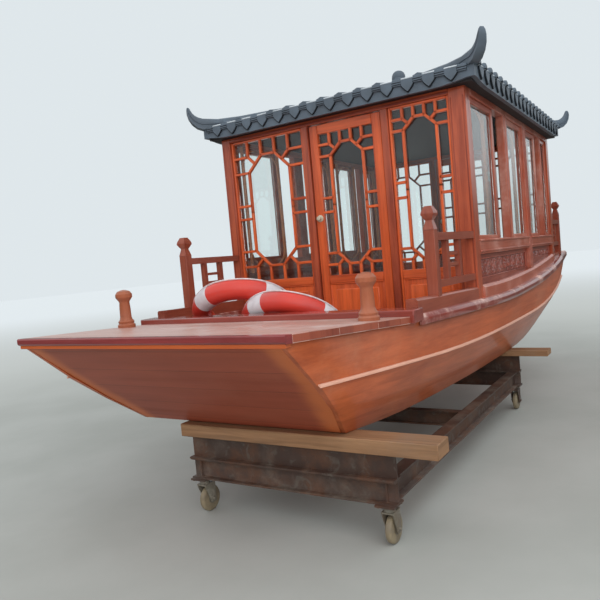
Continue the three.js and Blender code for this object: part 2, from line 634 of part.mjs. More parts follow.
// Cabin side walls. Columns of WINDOWS: fore edge, aft edge of each glazed sash.
const SIDE = { fore: -CORNER_POST_DEPTH - GAP, aft: -CABIN.length + CORNER_POST_DEPTH + GAP };
const MIDDLE_POST = { fore: -1645, aft: -1760 };
const WINDOWS = [[-105, -715], [-1100, -1650], [-1755, -2230], [-2450, -2745]];
const SIDE_MULLIONS = [[-1000, -1102], [-2390, -2452]];
const PANEL_TOP = 665;
const SASH = { stile: 56, lowRail: 28, topRail: 50, outer: 985, inner: 950 };
function sideFrame() {
  const inner = CABIN.halfWidth - CABIN.wall;
  const outer = CABIN.halfWidth;
  const pieces = [
    followSheer(SIDE.fore, SIDE.aft, inner, outer + 12, GAP, LEDGE.height, LEDGE.chamfer),
    slab(SIDE.aft, SIDE.fore, inner, outer, PANEL_TOP, CABIN.sill),
    slab(SIDE.aft, SIDE.fore, inner, outer, CABIN.head - 10, CABIN.top),
    slab(MIDDLE_POST.aft, MIDDLE_POST.fore, inner, outer, sheerZ(-1700) + 20, CABIN.top - 5),
  ];
  for (const [fore, aft] of SIDE_MULLIONS) {
    pieces.push(slab(aft, fore, inner + 8, outer - 6, CABIN.sill - 5, CABIN.head - 5));
  }
  for (const [fore, aft] of WINDOWS) {
    const sash = slab(aft, fore, SASH.inner, SASH.outer, CABIN.sill - 4, CABIN.head - 4);
    const light = slab(aft + SASH.stile, fore - SASH.stile, 900, 1100,
      CABIN.sill + SASH.lowRail, CABIN.head - SASH.topRail);
    pieces.push(cut(sash, [light]));
  }
  return join(pieces);
}
addBothSides('side_frame', sideFrame(), MATERIAL.joinery);

// Carved panels under the windows: a sunk field inside a raised moulding.
const PANEL_FRAME = { low: 44, top: 32 };
function carvedPanel(fore, aft) {
  const board = slab(aft, fore, 945, 972, 380, PANEL_TOP - GAP);
  const field = slab(aft + 70, fore - 70, 966, 1100,
    sheerZ((fore + aft) / 2) + LEDGE.height + PANEL_FRAME.low, PANEL_TOP - PANEL_FRAME.top);
  const under = followSheer(fore + 60, aft - 60, 900, 1100, -400, LEDGE.height + GAP);
  return cut(board, [field, under]);
}
addBothSides('carved_panel_fore', carvedPanel(SIDE.fore - GAP, MIDDLE_POST.fore + GAP), MATERIAL.trim);
addBothSides('carved_panel_aft', carvedPanel(MIDDLE_POST.aft - GAP, SIDE.aft + GAP), MATERIAL.trim);

WINDOWS.forEach(([fore, aft], i) => {
  const pane = slab(aft + SASH.stile + GAP, fore - SASH.stile - GAP, 965, 965 + GLASS,
    CABIN.sill + SASH.lowRail + GAP, CABIN.head - SASH.topRail - GAP);
  addBothSides(`window_glass_${i + 1}`, pane, MATERIAL.glass);
});

// Roof: boarded ceiling, hipped tiled shell with its hanging fascia, ridges with upturned horns.
add(boat, 'ceiling', slab(ROOF.aft + ROOF.fascia + GAP, ROOF.fore - ROOF.fascia - GAP,
  -ROOF.halfWidth + ROOF.fascia + GAP, ROOF.halfWidth - ROOF.fascia - GAP,
  CABIN.top + GAP, CABIN.top + GAP + CEILING_THICKNESS), MATERIAL.ceiling);

const ROOF_BASE = CABIN.top + CEILING_THICKNESS + 2 * GAP;
function hipSolid(inset, base, eave, middle, ridge) {
  const rectangle = (fore, aft, half, z) => [[fore, -half, z], [fore, half, z], [aft, half, z],
    [aft, -half, z]];
  const fore = ROOF.fore - inset;
  const aft = ROOF.aft + inset;
  const half = ROOF.halfWidth - inset;
  const mix = (a, b) => a + (b - a) * 0.5;
  return loft([
    rectangle(fore, aft, half, base),
    rectangle(fore, aft, half, eave),
    rectangle(mix(fore, ROOF.ridgeFore), mix(aft, ROOF.ridgeAft), mix(half, ROOF.ridgeHalf), middle),
    rectangle(ROOF.ridgeFore, ROOF.ridgeAft, ROOF.ridgeHalf, ridge),
  ], [0, 1]);
}
const roofOuter = () => hipSolid(0, ROOF_BASE, ROOF.eaveTop, ROOF.middleTop, ROOF.ridgeTop);
const roofCavity = () => hipSolid(60, ROOF_BASE - 20, 1832, 1936, 2072);

// Lower edge of the fascia over a length: level, then rising to both corners.
function fasciaOutline(from, to) {
  const outline = [[from, ROOF_BASE + 20], [to, ROOF_BASE + 20]];
  const steps = 4;
  const rise = (f) => FASCIA_LOW + (FASCIA_CORNER - FASCIA_LOW) * f * f;
  for (let i = 0; i <= steps; i += 1) {
    outline.push([to - (FASCIA_RISE_LENGTH * i) / steps, rise(1 - i / steps)]);
  }
  for (let i = steps; i >= 0; i -= 1) {
    outline.push([from + (FASCIA_RISE_LENGTH * i) / steps, rise(1 - i / steps)]);
  }
  return outline;
}

// Rolls of half-round tiles, from the eaves to just short of the hips and the ridge. Columns of
// ROLL_ARCH: across the roll, height above the slope.
const ROLL_ARCH = [[-23, -8], [-23, 0], [-16, 16], [0, 22], [16, 16], [23, 0], [23, -8]];
const ROLLS = { endPitch: 146, endCount: 13, sidePitch: 139, sideCount: 20, proud: 4 };
const HIP_CLEARANCE = 66;
const RIDGE_CLEARANCE = 36;
const slopeHeight = (share) => (share < 0.5
  ? THREE.MathUtils.lerp(ROOF.eaveTop, ROOF.middleTop, Math.max(share, 0) * 2)
  : THREE.MathUtils.lerp(ROOF.middleTop, ROOF.ridgeTop, share * 2 - 1));
function roofRoll(run, end, capAxes, place) {
  const stops = [-ROLLS.proud, Math.min(end, run / 2)];
  if (end > run / 2) stops.push(end);
  return loft(stops.map((inwards) => ROLL_ARCH.map(
    ([across, up]) => place(inwards, across, slopeHeight(inwards / run) + up),
  )), capAxes);
}
function roofRolls() {
  const { fore, aft, halfWidth, ridgeFore, ridgeAft, ridgeHalf } = ROOF;
  const rolls = [];
  const endRun = fore - ridgeFore;
  const sideRun = halfWidth - ridgeHalf;
  for (let i = 0; i < ROLLS.endCount; i += 1) {
    const y = (i - (ROLLS.endCount - 1) / 2) * ROLLS.endPitch;
    const end = (endRun * (halfWidth - Math.abs(y))) / sideRun - HIP_CLEARANCE;
    for (const [eave, way] of [[fore, -1], [aft, 1]]) {
      rolls.push(roofRoll(endRun, end, [1, 2],
        (inwards, across, z) => [eave + way * inwards, y + across, z]));
    }
  }
  const middle = (fore + aft) / 2;
  for (let i = 0; i < ROLLS.sideCount; i += 1) {
    const offset = (i - (ROLLS.sideCount - 1) / 2) * ROLLS.sidePitch;
    const share = ((fore - aft) / 2 - Math.abs(offset)) / ((fore - aft - ridgeFore + ridgeAft) / 2);
    const end = Math.min(sideRun * share - HIP_CLEARANCE, sideRun - RIDGE_CLEARANCE);
    for (const side of [1, -1]) {
      rolls.push(roofRoll(sideRun, end, [0, 2],
        (inwards, across, z) => [middle + offset + across, side * (halfWidth - inwards), z]));
    }
  }
  return rolls;
}
function roofShell() {
  const { fore, aft, halfWidth, fascia } = ROOF;
  const endOutline = fasciaOutline(-halfWidth, halfWidth);
  const sideOutline = fasciaOutline(aft, fore);
  const pieces = [
    cut(roofOuter(), [roofCavity()]),
    prism(endOutline, 'x', fore - fascia, fore),
    prism(endOutline, 'x', aft, aft + fascia),
    prism(sideOutline, 'y', halfWidth - fascia, halfWidth),
    prism(sideOutline, 'y', -halfWidth, -halfWidth + fascia),
    ...roofRolls(),
  ];
  return join(pieces);
}
add(boat, 'roof_shell', roofShell(), MATERIAL.tile);

// Outline of a hip ridge and its horn in the hip's own plane. Columns of HIP_TOP: run out from
// the ridge end as a fraction of the hip, height. Columns of the horn: run past the corner, height.
const HIP_TOP = [[0, 2138], [0.5, 2012], [0.8, 1946], [0.92, 1930]];
const HORN_TOP = [[0, 1938], [60, 1962], [88, 2000], [92, 2026]];
const HORN_UNDER = [[120, 2024], [122, 1985], [104, 1925], [70, 1880], [20, 1855]];
function hipRidge(cornerX, cornerY, ridgeX) {
  const run = Math.hypot(cornerX - ridgeX, cornerY);
  const outline = [];
  for (const [f, z] of HIP_TOP) outline.push([run * f, z]);
  for (const [past, z] of HORN_TOP) outline.push([run + past, z]);
  for (const [past, z] of HORN_UNDER) outline.push([run + past, z]);
  outline.push([run - 20, 1830], [run * 0.5, 1930], [0, 2060]);
  const blade = prism(outline, 'y', -24, 24);
  return blade.rotateZ(Math.atan2(cornerY, cornerX - ridgeX)).translate(ridgeX, 0, 0);
}
const FINIAL_PROFILE = [[0, 0], [58, 0], [58, 30], [34, 44], [30, 96], [44, 110], [62, 150],
  [58, 190], [36, 216], [0, 226]];
function roofRidges() {
  const pieces = [slab(ROOF.ridgeAft - 40, ROOF.ridgeFore + 40, -32, 32, 2060, 2140)];
  for (const [cornerX, ridgeX] of [[ROOF.fore, ROOF.ridgeFore], [ROOF.aft, ROOF.ridgeAft]]) {
    for (const cornerY of [ROOF.halfWidth, -ROOF.halfWidth]) {
      pieces.push(hipRidge(cornerX, cornerY, ridgeX));
    }
  }
  const profile = FINIAL_PROFILE.map(([r, z]) => new THREE.Vector2(r, z));
  const middle = (ROOF.ridgeFore + ROOF.ridgeAft) / 2;
  pieces.push(new THREE.LatheGeometry(profile, 16).rotateX(Math.PI / 2).translate(middle, 0, 2154));
  pieces.push(slab(middle - 60, middle + 60, -40, 40, 2120, 2170));
  return cut(join(pieces), [roofOuter().translate(0, 0, GAP)]);
}
add(boat, 'roof_ridges', roofRidges(), MATERIAL.tile);

// Life rings piled in the fore well. Columns: x, y, height of the centre, lean about Y, about X.
const RING = { major: 290, minor: 68 };
const RING_PLACES = [
  ['life_ring_upper', 665, -421, 412.4, -0.562, 0.293],
  ['life_ring_middle', 673.4, -23.3, 297.3, -0.716, 0.088],
  ['life_ring_lower', 544.6, -275.7, 180.6, -0.032, 0.252],
];
for (const [name, x, y, z, leanY, leanX] of RING_PLACES) {
  const ring = add(boat, name, new THREE.TorusGeometry(RING.major, RING.minor, 10, 32),
    MATERIAL.lifeRing);
  ring.position.set(x, y, z);
  ring.rotation.set(leanX, leanY, 0);
}

// Trolley of welded I-beams: side rails, cross members, raised end beams and caster plates.
function iBeam(axis, from, to, centre, bottom, height = BEAM.height, width = BEAM.width) {
  const w = width / 2;
  const h = BEAM.web / 2;
  const f = BEAM.flange;
  const outline = [[-w, 0], [w, 0], [w, f], [h, f], [h, height - f], [w, height - f], [w, height],
    [-w, height], [-w, height - f], [-h, height - f], [-h, f], [-w, f]];
  return prism(outline.map(([u, v]) => [u + centre, v + bottom]), axis, from, to);
}
const RAIL_TOP = RAIL_BOTTOM + BEAM.height;
function trolleyFrame() {
  const { near, far, halfTrack } = TROLLEY;
  const reach = halfTrack + 55;
  const pieces = [
    iBeam('x', far - 20, near + 20, halfTrack, RAIL_BOTTOM),
    iBeam('x', far - 20, near + 20, -halfTrack, RAIL_BOTTOM),
    iBeam('y', -halfTrack, halfTrack, (near + far) / 2, RAIL_BOTTOM + 10, BEAM.height - 20, 60),
  ];
  for (const x of [near, far]) {
    pieces.push(iBeam('y', -reach, reach, x, RAIL_BOTTOM - 2));
    pieces.push(iBeam('y', -reach, reach, x, RAIL_TOP - 4, CROSS_TOP - RAIL_TOP + 4, 90));
  }
  for (const x of [near, far]) {
    for (const y of [-halfTrack, halfTrack]) {
      pieces.push(slab(x - 58, x + 58, y - 52, y + 52, RAIL_BOTTOM - 8, RAIL_BOTTOM + 2));
      if (x === near) {
        pieces.push(new THREE.CylinderGeometry(34, 34, 14, 12).rotateX(Math.PI / 2)
          .translate(x, y, RAIL_BOTTOM - 13));
      } else {
        pieces.push(casterFork(RAIL_BOTTOM - 4).translate(x, y, 0));
      }
    }
  }
  return join(pieces);
}

// Caster fork around its axle, its wheel trailing behind the swivel at x = 0, y = 0.
const FORK = { inner: 25.5, leg: 6, halfLength: 24, crown: 166, axle: 7.7 };
function casterFork(top) {
  const pieces = [slab(-WHEEL.trail - 22, 34, -FORK.inner - FORK.leg, FORK.inner + FORK.leg,
    FORK.crown, FORK.crown + 8)];
  const legOutline = [[-WHEEL.trail - 20, WHEEL.radius - 20], [-WHEEL.trail + 20, WHEEL.radius - 20],
    [34, FORK.crown + 4], [-WHEEL.trail - 22, FORK.crown + 4]];
  for (const side of [-1, 1]) {
    pieces.push(prism(legOutline, 'y', side * FORK.inner, side * (FORK.inner + FORK.leg)));
  }
  pieces.push(new THREE.CylinderGeometry(FORK.axle, FORK.axle, 2 * FORK.inner + 30, 12)
    .translate(-WHEEL.trail, 0, WHEEL.radius));
  pieces.push(new THREE.CylinderGeometry(30, 30, top - FORK.crown, 12).rotateX(Math.PI / 2)
    .translate(0, 0, (top + FORK.crown) / 2));
  return join(pieces);
}

// Columns of WHEEL_PROFILE: radius, offset along the axle.
const WHEEL_PROFILE = [[WHEEL.bore, -24], [22, -24], [22, -15], [60, -18], [75, -14], [75, 14],
  [60, 18], [22, 15], [22, 24], [WHEEL.bore, 24], [WHEEL.bore, -24]];
function casterWheel() {
  const profile = WHEEL_PROFILE.map(([r, z]) => new THREE.Vector2(r, z));
  return new THREE.LatheGeometry(profile, 24);
}

add(trolley, 'trolley_frame', trolleyFrame(), MATERIAL.steel);
const CASTERS = [['near_port', TROLLEY.near, 1], ['near_starboard', TROLLEY.near, -1],
  ['far_port', TROLLEY.far, 1], ['far_starboard', TROLLEY.far, -1]];
for (const [place, x, side] of CASTERS) {
  const y = side * TROLLEY.halfTrack;
  if (x === TROLLEY.near) {
    const fork = add(trolley, `caster_fork_${place}`, casterFork(RAIL_BOTTOM - 20 - GAP), MATERIAL.steel);
    fork.position.set(x, y, 0);
  }
  const wheel = add(trolley, `caster_wheel_${place}`, casterWheel(), MATERIAL.wheel);
  wheel.position.set(x - WHEEL.trail, y, WHEEL.radius);
}

// Timber bearers between the trolley's raised beams and the hull.
function timber(x) {
  const half = TIMBER.width / 2;
  const lowest = Math.min(...[-half, -half / 2, 0, half / 2, half].map((dx) => bottomZ(x + dx)));
  return slab(x - half, x + half, TIMBER.starboard, TIMBER.port, CROSS_TOP + GAP,
    DATUM_Z + lowest - GAP);
}
add(trolley, 'trolley_timber_near', timber(TROLLEY.near), MATERIAL.timber);
add(trolley, 'trolley_timber_far', timber(TROLLEY.far), MATERIAL.timber);

export default object;
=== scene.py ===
"""Looks of a painted wooden pleasure boat with a tiled cabin roof, parked on its steel trolley.

Metres, +X towards the bow, +Y to port, +Z up. Sizes of the boat are measured from the front
wall of the cabin and from the datum that the heights of its source start at. A pair of numbers
is a range, and the rows of a turned profile are radius and height.
"""
import json
import logging
import math
from dataclasses import dataclass, field
from enum import Enum
from itertools import product
from typing import Callable, Iterable, Optional, Sequence

import bmesh
import bpy
import numpy as np
from mathutils import Matrix, Vector

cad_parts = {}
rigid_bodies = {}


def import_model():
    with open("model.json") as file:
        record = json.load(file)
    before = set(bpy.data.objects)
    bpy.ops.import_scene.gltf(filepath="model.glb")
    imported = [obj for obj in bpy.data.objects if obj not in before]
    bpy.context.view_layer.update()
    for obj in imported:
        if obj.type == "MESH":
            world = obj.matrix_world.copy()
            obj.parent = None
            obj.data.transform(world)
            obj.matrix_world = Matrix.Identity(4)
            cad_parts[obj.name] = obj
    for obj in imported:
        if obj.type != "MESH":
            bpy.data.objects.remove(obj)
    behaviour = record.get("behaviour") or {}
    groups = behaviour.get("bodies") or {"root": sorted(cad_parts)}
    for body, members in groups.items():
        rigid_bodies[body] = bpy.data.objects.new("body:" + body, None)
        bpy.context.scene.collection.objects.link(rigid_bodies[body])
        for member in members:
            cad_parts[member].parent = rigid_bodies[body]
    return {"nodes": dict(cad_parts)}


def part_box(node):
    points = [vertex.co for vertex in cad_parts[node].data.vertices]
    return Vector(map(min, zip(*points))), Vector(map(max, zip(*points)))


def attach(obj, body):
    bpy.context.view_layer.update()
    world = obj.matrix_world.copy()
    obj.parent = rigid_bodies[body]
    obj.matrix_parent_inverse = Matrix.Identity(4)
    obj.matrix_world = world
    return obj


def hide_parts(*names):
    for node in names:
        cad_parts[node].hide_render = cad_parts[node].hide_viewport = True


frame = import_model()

log = logging.getLogger("pleasure_boat")
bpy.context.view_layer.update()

Point = tuple[float, float, float]
Colour = tuple[float, float, float]
Pair = tuple[float, float]
Rows = Sequence[Pair]
Stand = tuple[Point, Point, Point]
Socket = bpy.types.NodeSocket
Tree = bpy.types.NodeTree
Material = bpy.types.Material

BENCH_SEAT = 0.440
WALL_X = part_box("front_frame")[1].x
DATUM_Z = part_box("sole_and_benches")[1].z - BENCH_SEAT
BOAT_ORIGIN = np.array([WALL_X, 0.0, DATUM_Z])
GAP = 0.0003
SIDES = (("port", 1), ("starboard", -1))


class Body(Enum):
    """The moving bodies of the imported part."""

    BOAT = "boat_and_trolley"
    FRONT_DOOR = "front_door"
    REAR_DOOR = "rear_door"
    FORK_PORT = "caster_fork_near_port"
    FORK_STARBOARD = "caster_fork_near_starboard"
    WHEEL_NEAR_PORT = "caster_wheel_near_port"
    WHEEL_NEAR_STARBOARD = "caster_wheel_near_starboard"
    WHEEL_FAR_PORT = "caster_wheel_far_port"
    WHEEL_FAR_STARBOARD = "caster_wheel_far_starboard"


class Slot(Enum):
    """The material slots of the record."""

    HULL = "hull_paint"
    RAMP = "ramp_paint"
    DECK = "deck_paint"
    TRIM = "trim_paint"
    JOINERY = "joinery"
    LEAF = "leaf_joinery"
    TILE = "roof_tile"
    CEILING = "ceiling_board"
    PANE = "pane"
    RING = "ring_cover"
    STEEL = "trolley_steel"
    TIMBER = "timber"
    WHEEL = "wheel_nylon"


class Graph:
    """A node tree with short calls for the nodes that the finishes use."""

    def __init__(self, tree: Tree) -> None:
        """Takes the tree that every call adds to."""
        self.tree = tree

    def feed(self, socket: Socket, value: object) -> None:
        """Links an input, or sets its own value.

        Args:
            socket: The input.
            value: Another node's output, a number, a name, a vector or a colour.
        """
        if isinstance(value, Socket):
            self.tree.links.new(value, socket)
        elif isinstance(value, (int, float, str)):
            socket.default_value = value
        else:
            socket.default_value = (*value, 1.0)[:len(socket.default_value)]

    def node(self, kind: str, inputs: Optional[dict[object, object]] = None, **settings: object
             ) -> bpy.types.Node:
        """Adds a node.

        Args:
            kind: Blender's name of the node type.
            inputs: What feeds its inputs, by their names or numbers.
            settings: Attributes to set on it.

        Returns:
            The node.
        """
        made = self.tree.nodes.new(kind)
        for key, value in settings.items():
            setattr(made, key, value)
        for key, value in (inputs or {}).items():
            self.feed(made.inputs[key], value)
        return made

    def math(self, operation: str, *values: object, clamp: bool = False) -> Socket:
        """Adds a math node, clamped from 0 to 1 if asked, and gives its result."""
        return self.node("ShaderNodeMath", dict(enumerate(values)), operation=operation,
                         use_clamp=clamp).outputs[0]

    def add(self, *values: object) -> Socket:
        """Adds two values."""
        return self.math("ADD", *values)

    def sub(self, *values: object) -> Socket:
        """Subtracts the second value from the first."""
        return self.math("SUBTRACT", *values)

    def mul(self, *values: object) -> Socket:
        """Multiplies two values."""
        return self.math("MULTIPLY", *values)

    def vector(self, operation: str, *values: object, output: int = 0) -> Socket:
        """Adds a vector math node with its inputs in order; output 1 is its plain value."""
        return self.node("ShaderNodeVectorMath", dict(enumerate(values)),
                         operation=operation).outputs[output]

    def scaled(self, vector: object, scale: object) -> Socket:
        """Scales a vector."""
        return self.node("ShaderNodeVectorMath", {0: vector, "Scale": scale},
                         operation="SCALE").outputs[0]

    def noise(self, place: object, scale: object, detail: float = 3.0, rough: float = 0.55,
              bend: float = 0.0) -> Socket:
        """Adds a noise texture of a scale, a number of octaves, their weight and a distortion."""
        return self.node("ShaderNodeTexNoise", {"Vector": place, "Scale": scale, "Detail": detail,
                                                "Roughness": rough, "Distortion": bend}).outputs[0]

    def range(self, value: object, low: float, high: float, to_low: float = 0.0,
              to_high: float = 1.0) -> Socket:
        """Maps a range smoothly onto another, clamped.

        Args:
            value: What is mapped.
            low: Where the range starts.
            high: Where the range ends.
            to_low: What its start becomes.
            to_high: What its end becomes.

        Returns:
            The mapped value.
        """
        given = {"Value": value, "From Min": low, "From Max": high, "To Min": to_low,
                 "To Max": to_high}
        return self.node("ShaderNodeMapRange", given, interpolation_type="SMOOTHSTEP").outputs[0]

    def mix(self, share: object, first: object, second: object) -> Socket:
        """Mixes two colours by the share of the second."""
        return self.node("ShaderNodeMix", {"Factor": share, 6: first, 7: second},
                         data_type="RGBA", blend_type="MIX").outputs[2]

    def attribute(self, name: str, output: str = "Vector") -> Socket:
        """Reads an attribute of the mesh."""
        return self.node("ShaderNodeAttribute", attribute_name=name).outputs[output]

    def place(self) -> Socket:
        """Gives the Object coordinates."""
        found = self.tree.nodes.get("Texture Coordinate") or self.node("ShaderNodeTexCoord")
        return found.outputs["Object"]

    def parts(self, vector: object) -> Sequence[Socket]:
        """Splits a vector into its three values."""
        return self.node("ShaderNodeSeparateXYZ", {0: vector}).outputs

    def group(self, tree: Tree, **inputs: object) -> Sequence[Socket]:
        """Places a node group with its inputs by name, and gives its outputs."""
        return self.node("ShaderNodeGroup", inputs, node_tree=tree).outputs


def shader_group(name: str, inputs: Sequence[str], outputs: Sequence[str]
                 ) -> tuple[Graph, Sequence[Socket], bpy.types.Node]:
    """Starts a shader node group.

    Args:
        name: Its name.
        inputs: Each input as its kind and its name, such as "Float Scale".
        outputs: Each output in the same way.

    Returns:
        Its graph, the sockets of its inputs and its output node.
    """
    tree = bpy.data.node_groups.new(name, "ShaderNodeTree")
    for direction, sockets in (("INPUT", inputs), ("OUTPUT", outputs)):
        for kind, label in (socket.split() for socket in sockets):
            tree.interface.new_socket(label, in_out=direction, socket_type=f"NodeSocket{kind}")
    graph = Graph(tree)
    given = graph.node("NodeGroupInput").outputs
    return graph, list(given)[:len(inputs)], graph.node("NodeGroupOutput")


BOARD_SHIFT = 37.0
BAND_SWING, FIBRE_SWING = 2.2, 0.8
FIBRE_SCALE, PATCH_SCALE = 5.3, 2.1
STREAKS = (0.55, 0.75)


def timber_group() -> Tree:
    """Builds the group that draws wood grain along each board.

    Returns:
        The group. Its outputs are the colour, a height for bump and a mask of the dark streaks.
    """
    graph, (place, way, tone, light, dark, across, along, contrast), out = shader_group(
        "timber_grain", ("Vector Place", "Vector Grain", "Float Tone", "Color Light", "Color Dark",
                         "Float Across", "Float Along", "Float Contrast"),
        ("Color Colour", "Float Height", "Float Streak"))
    grain = graph.vector("NORMALIZE", way)
    lengthwise = graph.scaled(grain, graph.vector("DOT_PRODUCT", place, grain, output=1))
    crosswise = graph.vector("SUBTRACT", place, lengthwise)
    stretched = graph.vector("ADD", graph.scaled(crosswise, across),
                             graph.scaled(lengthwise, along))
    shift = graph.node("ShaderNodeCombineXYZ", {0: graph.mul(tone, BOARD_SHIFT)}).outputs[0]
    moved = graph.vector("ADD", stretched, shift)
    bands = graph.noise(moved, 1.0, detail=4.0, bend=0.6)
    fibres = graph.noise(moved, FIBRE_SCALE, rough=0.7)
    patches = graph.noise(place, PATCH_SCALE, detail=2.0)
    wobble = graph.add(graph.mul(graph.sub(bands, 0.5), BAND_SWING),
                       graph.mul(graph.sub(fibres, 0.5), FIBRE_SWING))
    wobble = graph.add(wobble, graph.sub(patches, 0.5))
    share = graph.math("ADD", graph.add(graph.mul(wobble, contrast), tone), 0.0, clamp=True)
    for label, value in (("Colour", graph.mix(share, light, dark)), ("Height", fibres),
                         ("Streak", graph.range(bands, *STREAKS))):
        graph.feed(out.inputs[label], value)
    return graph.tree


CLOUDS = (0.42, 0.72)
SPECK_SCALE = 9.0
SPECKS = (0.3, 0.7, 0.55, 1.0)
LYING = (-0.1, 0.9, 0.45, 1.0)


def dust_group() -> Tree:
    """Builds the group that lays dust and scuffs over a colour.

    Returns:
        The group. Its outputs are the dusted colour and the dust's mask.
    """
    # Dust lies most on up-facing faces; with a pale colour it also paints a sky highlight there.
    graph, (place, up, colour, dust, amount, scale), out = shader_group(
        "dust_and_scuffs", ("Vector Place", "Float Up", "Color Colour", "Color Dust",
                            "Float Amount", "Float Scale"), ("Color Colour", "Float Mask"))
    clouds = graph.range(graph.noise(place, scale, detail=6.0, rough=0.62), *CLOUDS)
    specks = graph.range(graph.noise(place, graph.mul(scale, SPECK_SCALE), detail=2.0), *SPECKS)
    lying = graph.mul(graph.mul(clouds, specks), graph.range(up, *LYING))
    mask = graph.math("MULTIPLY", lying, amount, clamp=True)
    graph.feed(out.inputs["Colour"], graph.mix(mask, colour, dust))
    graph.feed(out.inputs["Mask"], mask)
    return graph.tree


def seam_group() -> Tree:
    """Builds the group that draws the joints between boards of one width.

    Returns:
        The group. Its outputs are the joints' mask and a random value for each board.
    """
    graph, (reach, pitch, width), out = shader_group(
        "board_seams", ("Float Reach", "Float Pitch", "Float Width"),
        ("Float Seam", "Float Board"))
    counted = graph.math("DIVIDE", reach, pitch)
    edge = graph.mul(graph.math("PINGPONG", counted, 0.5), pitch)
    line = graph.math("SUBTRACT", 1.0, graph.math("DIVIDE", edge, width), clamp=True)
    dice = graph.node("ShaderNodeTexWhiteNoise", {"W": graph.math("FLOOR", counted)},
                      noise_dimensions="1D")
    graph.feed(out.inputs["Seam"], line)
    graph.feed(out.inputs["Board"], dice.outputs["Value"])
    return graph.tree


TIMBER_GRAIN = timber_group()
DUST = dust_group()
SEAMS = seam_group()


def start_material(name: str) -> tuple[Material, Graph, bpy.types.Node]:
    """Makes an empty node material with one Principled shader.

    Args:
        name: The material's name.

    Returns:
        The material, its graph and the shader.
    """
    material = bpy.data.materials.new(name)
    material.use_nodes = True
    material.node_tree.nodes.clear()
    graph = Graph(material.node_tree)
    shader = graph.node("ShaderNodeBsdfPrincipled")
    graph.node("ShaderNodeOutputMaterial", {0: shader.outputs[0]})
    return material, graph, shader


@dataclass(frozen=True)
class Finish:
    """What every finish has: its name and the material slot of its pieces."""

    name: str
    slot: Slot

    def weather(self, graph: Graph, colour: Socket, dust: tuple[Colour, float, float]) -> Socket:
        """Lays dust on a colour and gives it to the shader.

        Args:
            graph: The node tree, with its shader.
            colour: The clean colour.
            dust: The dust's colour, amount and scale.

        Returns:
            The dust's mask.
        """
        up = graph.parts(graph.node("ShaderNodeNewGeometry").outputs["Normal"])[2]
        dusted = graph.group(DUST, Place=graph.place(), Up=up, Colour=colour, Dust=dust[0],
                             Amount=dust[1], Scale=dust[2])
        self.set(graph, {"Base Color": dusted[0]})
        return dusted[1]

    def set(self, graph: Graph, values: dict[str, object]) -> None:
        """Feeds inputs of the tree's Principled shader."""
        for key, value in values.items():
            graph.feed(graph.tree.nodes["Principled BSDF"].inputs[key], value)

    def bump(self, graph: Graph, height: Socket, distance: float, strength: float = 0.5) -> None:
        """Bumps the tree's shader by a height.

        Args:
            graph: The tree.
            height: The height.
            distance: How far a height of 1 stands out.
            strength: The share of the bump that is used.
        """
        node = graph.node("ShaderNodeBump", {"Strength": strength, "Distance": distance,
                                             "Height": height})
        self.set(graph, {"Normal": node.outputs["Normal"]})


